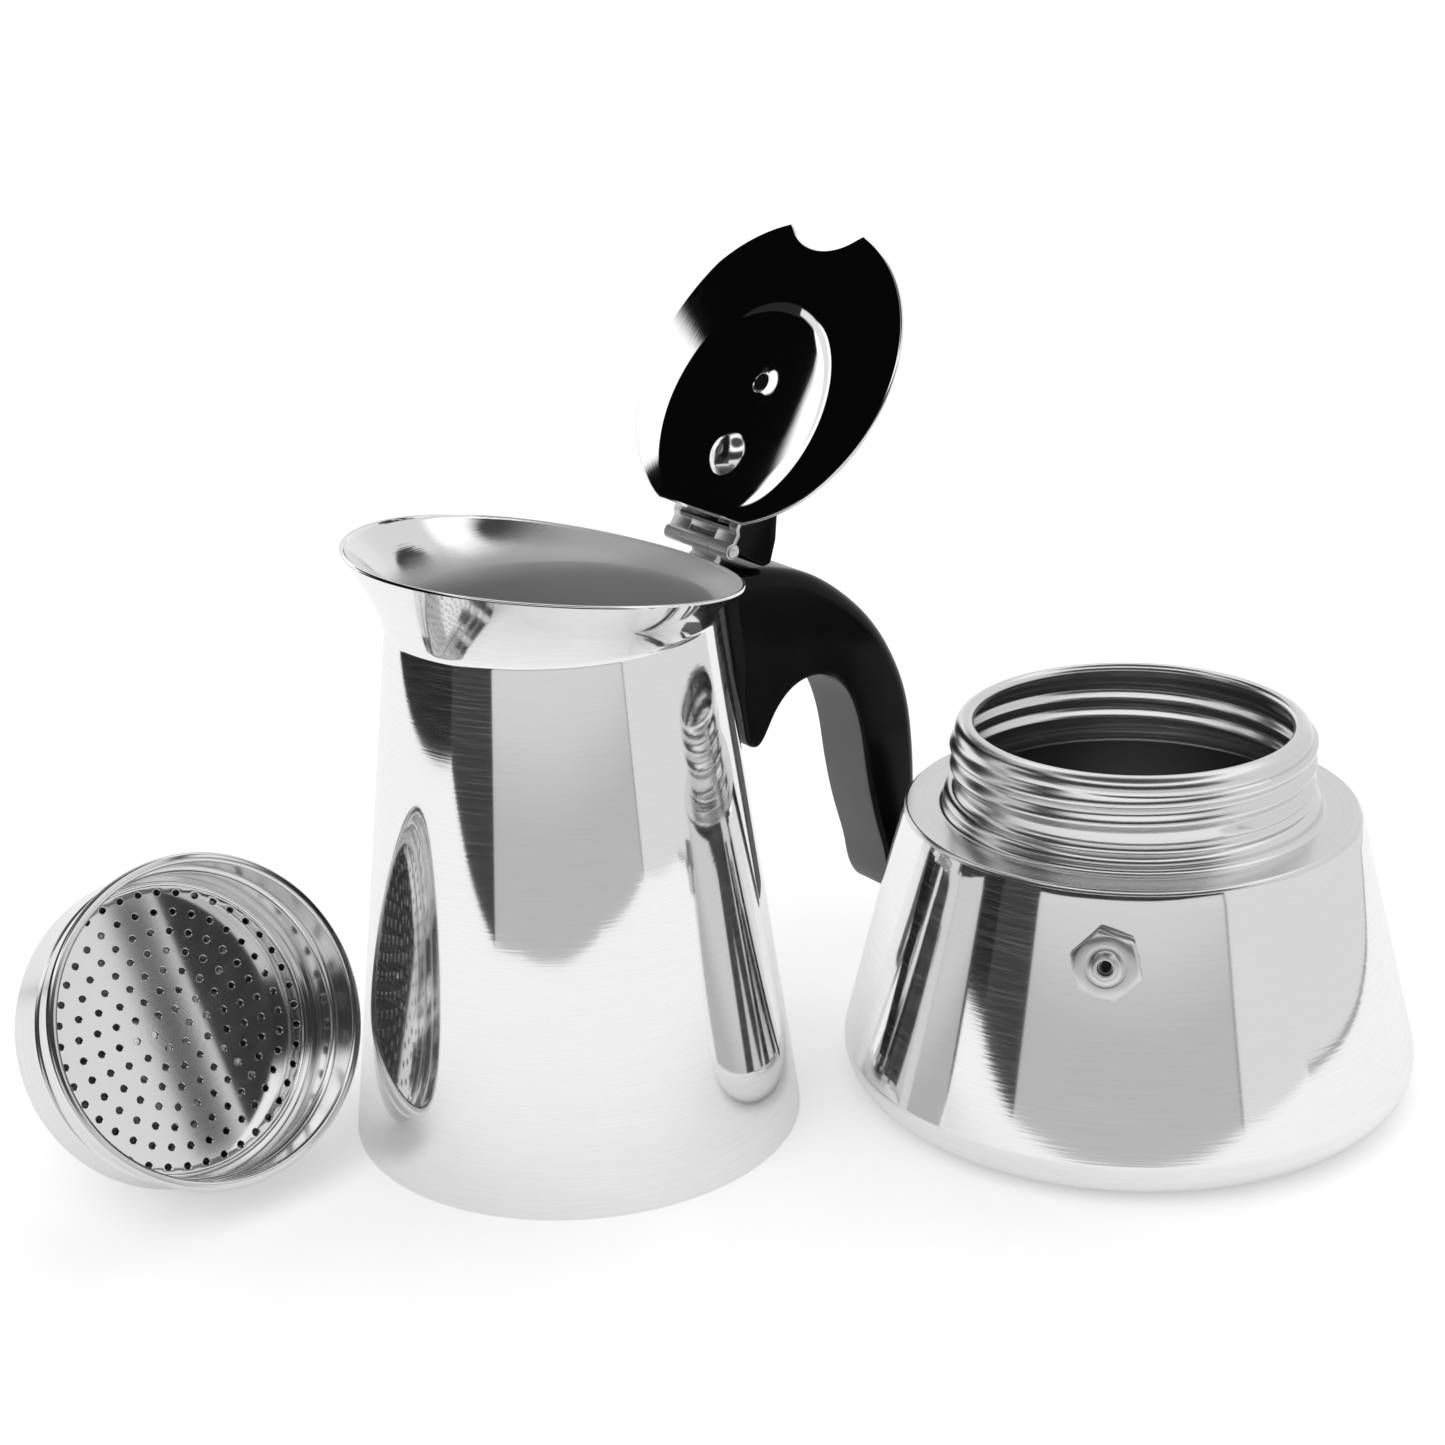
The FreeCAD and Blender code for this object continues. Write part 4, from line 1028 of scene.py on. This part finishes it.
# ---- building the pieces ----
def build_materials():
    return {
        "boiler": steel("polished_boiler", BOILER, (0.895, 0.93), (0.035, 0.09), 0.65, 0.03,
                        aniso=0.5, haze=0.09),
        "jug": steel("polished_jug", JUG, (0.895, 0.93), (0.035, 0.08), 0.65, 0.018,
                     aniso=0.5, haze=0.09),
        "neck": steel("satin_neck", BOILER, (0.78, 0.88), (0.19, 0.28), 0.5, 0.008,
                      streak=30.0, aniso=0.3),
        "valve": steel("turned_valve", VALVE, (0.66, 0.80), (0.28, 0.40), 0.8, 0.10,
                       per_metre=3600.0, streak=60.0),
        "jug_inside": jug_inside(),
        # Painted shade: the matte steel inside the boiler gets a dark tone for the shade that falls
        # inside it.
        "boiler_inside": steel("matte_boiler_inside_painted_shade", BOILER, (0.30, 0.36), (0.42, 0.55), 0.4, 0.2),
        "matte": steel("matte_steel", JUG, (0.70, 0.78), (0.42, 0.52), 0.5, 0.1),
        "lid": steel("polished_lid", LID, (0.88, 0.94), (0.02, 0.05), 0.4, 0.02),
        "hinge": steel("satin_hinge", LID, (0.70, 0.86), (0.30, 0.46), 0.6, 0.08,
                       per_metre=2200.0, streak=200.0),
        "funnel": steel("satin_funnel", FUNNEL, (0.72, 0.86), (0.10, 0.22), 0.7, 0.06,
                        per_metre=2400.0, streak=40.0),
        "chrome": steel("chromed_screw", LID, (0.86, 0.94), (0.12, 0.20), 0.4, 0.03,
                        per_metre=1500.0, streak=300.0),
        # Painted shade: near-black steel for the valve's seat and plunger, so that the hole above them
        # reads dark.
        "dark": steel("bore_painted_shade", VALVE, (0.02, 0.04), (0.4, 0.5), 0.5, 0.1),
        "plate": steel("satin_plate", FUNNEL, (0.84, 0.93), (0.06, 0.10), 0.2, 0.010,
                       per_metre=2400.0, streak=60.0),
        "heat": steel("heat_disc_metal", BOILER, (0.55, 0.70), (0.3, 0.42), 0.8, 0.35,
                      per_metre=1500.0, streak=30.0),
        "spring": steel("spring_metal", VALVE, (0.40, 0.55), (0.3, 0.4), 0.5, 0.2),
        "plastic": black_plastic(),
        "rubber": rubber(),
    }


def build_pieces(mats):
    """Each row: shape, name, place, finish, body, the node it stands for, slot, sharp angle."""
    rows = [
        (boiler_shell, "shell", BOILER, "boiler", "boiler", "boiler_shell", "polished_steel", 40),
        (heat_disc, "foot_disc", BOILER, "heat", "boiler", "boiler_heat_disc", "heat_disc", 40),
        (boiler_neck, "neck", BOILER, "neck", "boiler", "boiler_neck", "satin_steel", 40),
        (valve_body, "valve_head", VALVE, "valve", "boiler", "valve_body", "valve_brass", 40),
        (jug_body, "jug_wall", JUG, "jug", "jug", "jug_body", "polished_steel", 50),
        (handle, "grip", JUG, "plastic", "jug", "handle", "black_plastic", 60),
        (hinge_pin, "pin", JUG, "hinge", "jug", "hinge_pin", "satin_steel", 40),
        (lid_disc, "lid_plate", LID, "lid", "lid", "lid_disc", "polished_steel", 50),
        (lid_screw, "lid_bolt", LID, "chrome", "lid", "lid_screw", "satin_steel", 40),
        (lid_knob, "knob", LID, "plastic", "lid", "lid_knob", "black_plastic", 30),
        (upper_leaf, "leaf", LID, "hinge", "lid", "hinge_upper_leaf", "satin_steel", 40),
        (funnel_basket, "basket", FUNNEL, "funnel", "funnel", "funnel_basket", "plate_steel", 40),
        (funnel_plate, "sieve", FUNNEL, "plate", "funnel", "funnel_plate", "plate_steel", 20),
        (funnel_cone, "cone", FUNNEL, "funnel", "funnel", "funnel_cone", "plate_steel", 40),
        (funnel_stem, "stem", FUNNEL, "funnel", "funnel", "funnel_stem", "plate_steel", 40),
    ]
    inside = {"shell": "boiler_inside", "jug_wall": "jug_inside"}
    for shape, name, place, finish, body, node, slot, sharp in rows:
        made = piece(name, shape(), place, mats[finish], body, [node], sharp)
        if name in inside:
            paint_inside(made, place, mats[inside[name]])


def paint_inside(body, place, material):
    """Gives the faces that look at an axis their own material: another finish, and inside the boiler a
    painted shade.
    """
    body.data.materials.append(material)
    origin, axis = own_axis(place)
    for face in body.data.polygons:
        out = face.center - origin
        out = (out - axis * out.dot(axis)).normalized()
        if face.normal.dot(out) < -0.1:
            face.material_index = 1


def dress_cad_nodes(mats):
    """The CAD nodes that are shown as they are get procedural materials."""
    choice = {
        "rubber": ["valve_gasket", "valve_washer", "jug_gasket"],
        "valve": ["valve_nut"],
        # The valve's seat and plunger get the near-black steel that paints shade into the valve's hole.
        "dark": ["valve_seat", "valve_plunger"],
        "spring": ["valve_spring"],
        "matte": ["jug_floor", "column_tube", "column_cap"],
        "plate": ["jug_filter_plate"],
        "hinge": ["jug_collar", "handle_bracket", "handle_screw", "hinge_lower_leaf"],
    }
    for key, names in choice.items():
        for name in names:
            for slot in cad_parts[name].material_slots:
                slot.material = mats[key]


# ---- camera, light and floor ----
def build_camera():
    """Camera in front of the row, looking down by a pitch and turned by a roll, in radians."""
    pitch, roll = 0.350, -0.034
    forward = Vector((0, cos(pitch), -sin(pitch)))
    level_up = Vector((0, sin(pitch), cos(pitch)))
    right = Vector((cos(roll), 0, 0)) + level_up * sin(roll)
    up = Vector((-sin(roll), 0, 0)) + level_up * cos(roll)
    rotation = Matrix((right, up, -forward)).transposed()
    data = bpy.data.cameras.new("camera")
    data.sensor_width = 36.0
    data.lens = 62.525
    data.clip_start, data.clip_end = 0.01, 50.0
    camera = placed("camera", data)
    camera.matrix_world = move(-0.07634, -0.43839, 0.23484) @ rotation.to_4x4()
    bpy.context.scene.camera = camera


def build_floor():
    material, tree = new_material("floor_paper")
    grain = noise(tree, object_point(tree), 60.0, 3.0)
    base = add(tree, "BsdfDiffuse", Color=tinted(tree, grain, (0.80,) * 3, (0.82,) * 3))
    path = add(tree, "LightPath")
    level = mixed(tree, path.outputs["Is Glossy Ray"], 0.0, 0.19)
    level = mixed(tree, path.outputs["Is Camera Ray"], level, 0.34)
    glow = add(tree, "Emission", Color=(1, 1, 1, 1), Strength=level)
    finish_material(tree, add(tree, "AddShader", i0=base.outputs[0], i1=glow.outputs[0]))
    bpy.ops.mesh.primitive_grid_add(x_subdivisions=4, y_subdivisions=4, size=16.0)
    floor = bpy.context.object
    floor.name = "floor"
    floor.data.materials.append(material)


def card(name, corners, low, high=None):
    """A studio card that only mirrors see; its level may rise with height over the floor."""
    material, tree = new_material(name)
    level = low
    if high is not None:
        height = add(tree, "SeparateXYZ", Vector=object_point(tree)).outputs[2]
        level = mixed(tree, between(tree, height, 0.028, 0.075), low, high)
    finish_material(tree, add(tree, "Emission", Color=(1, 1, 1, 1), Strength=level))
    mesh = bpy.data.meshes.new(name)
    mesh.from_pydata(corners, [], [(0, 1, 2, 3)])
    mesh.materials.append(material)
    made = placed(name, mesh)
    for ray in ("camera", "diffuse", "shadow", "transmission"):
        setattr(made, "visible_" + ray, False)


def screen(name, feet, top, low, high=None):
    """Upright card on the floor, bent through a row of feet."""
    for k, (a, b) in enumerate(zip(feet, feet[1:])):
        card(f"{name}_{k}", [(*a, 0), (*b, 0), (*b, top), (*a, top)], low, high)


def build_cards():
    """Grey in front and pale on the right, each ended by a darker line, and black on the left."""
    grey = [(-0.272, -0.238), (-0.215, -0.272), (-0.14, -0.288), (0.01, -0.31), (0.163, -0.262)]
    screen("grey_front", grey, 0.12, 0.50, 0.69)
    screen("line_front", [(0.163, -0.262), (0.168, -0.260)], 0.12, 0.28)
    pale = [(0.168, -0.260), (0.213, -0.125), (0.19, -0.053), (0.182, -0.01), (0.182, 0.04),
            (0.19, 0.08), (0.185, 0.20)]
    screen("pale_right", pale, 0.14, 0.74)
    screen("line_right", [(x - 0.001, y) for x, y in pale[1:]], 0.002, 0.30)
    screen("black_left", [(-0.60, -0.235), (-0.272, -0.238)], 0.30, 0.05)
    screen("black_side", [(-0.54, 0.22), (-0.57, -0.04), (-0.60, -0.235)], 0.30, 0.02)
    sieve_band = [(0.064, -0.125, 0.174), (0.071, -0.116, 0.171), (0.096, -0.140, 0.095),
                  (0.087, -0.150, 0.096)]
    card("sieve_band", sieve_band, 0.05)
    strip = [(-0.0624, -0.0143, 0.012), (-0.0609, -0.0117, 0.012), (-0.0523, -0.0094, 0.054),
             (-0.0538, -0.0120, 0.054)]
    card("black_strip", strip, 0.01)


def sun(name, azimuth, height, strength, spread_angle):
    """Soft light from a direction, which mirrors don't see."""
    data = bpy.data.lights.new(name, "SUN")
    data.energy = strength
    data.angle = radians(spread_angle)
    made = placed(name, data)
    flat = cos(radians(height))
    way = Vector((flat * cos(radians(azimuth)), flat * sin(radians(azimuth)), sin(radians(height))))
    made.rotation_euler = way.to_track_quat("Z", "Y").to_euler()
    made.visible_glossy = False


def facing_way(tree, way, azimuth, low, high):
    """0 to 1 as a direction turns towards an azimuth."""
    side = (cos(radians(azimuth)), sin(radians(azimuth)), 0.0)
    return between(tree, dot(tree, way, side), low, high)


def mirror_room(tree, way, up):
    """What polished metal sees above the floor: a pale room with dark parts and soft windows."""
    room = mixed(tree, between(tree, up, 0.10, 0.40), 0.86, 0.74)
    window = band(tree, up, (0.70, 0.74), (0.86, 0.89))
    room = mixed(tree, window, room, 1.15)
    ceiling = between(tree, up, 0.88, 0.91)
    room = mixed(tree, ceiling, room, 0.06)
    front = both(tree, facing_way(tree, way, -105, 0.30, 0.42),
                 band(tree, up, (0.12, 0.22), (0.66, 0.74)))
    room = mixed(tree, front, room, 0.03)
    corner = both(tree, facing_way(tree, way, 160, 0.44, 0.54),
                  band(tree, up, (0.20, 0.26), (0.84, 0.90)))
    lit = both(tree, without(tree, facing_way(tree, way, 241.5, -0.012, 0.006)),
               without(tree, between(tree, up, 0.390, 0.410)))
    room = mixed(tree, both(tree, corner, without(tree, lit)), room, 0.002)
    return mixed(tree, both(tree, corner, lit), room, 1.2)


def build_world():
    """Even light for dull surfaces; the camera sees white."""
    world = bpy.data.worlds.new("studio")
    bpy.context.scene.world = world
    world.use_nodes = True
    tree = world.node_tree
    tree.nodes.clear()
    way = add(tree, "TexCoord").outputs["Generated"]
    up = add(tree, "SeparateXYZ", Vector=way).outputs[2]
    path = add(tree, "LightPath")
    level = mixed(tree, path.outputs["Is Glossy Ray"], 0.66, mirror_room(tree, way, up))
    level = mixed(tree, path.outputs["Is Camera Ray"], level, 1.0)
    background = add(tree, "Background", Color=(1, 1, 1, 1), Strength=level)
    out = tree.nodes.new("ShaderNodeOutputWorld")
    tree.links.new(background.outputs[0], out.inputs["Surface"])


def build_stage():
    build_floor()
    build_cards()
    build_world()
    sun("key", azimuth=-120, height=55, strength=0.7, spread_angle=50)
    sun("back", azimuth=60, height=50, strength=0.5, spread_angle=60)
    bpy.context.scene.view_settings.view_transform = "Standard"


build_camera()
materials = build_materials()
build_pieces(materials)
dress_cad_nodes(materials)
build_stage()
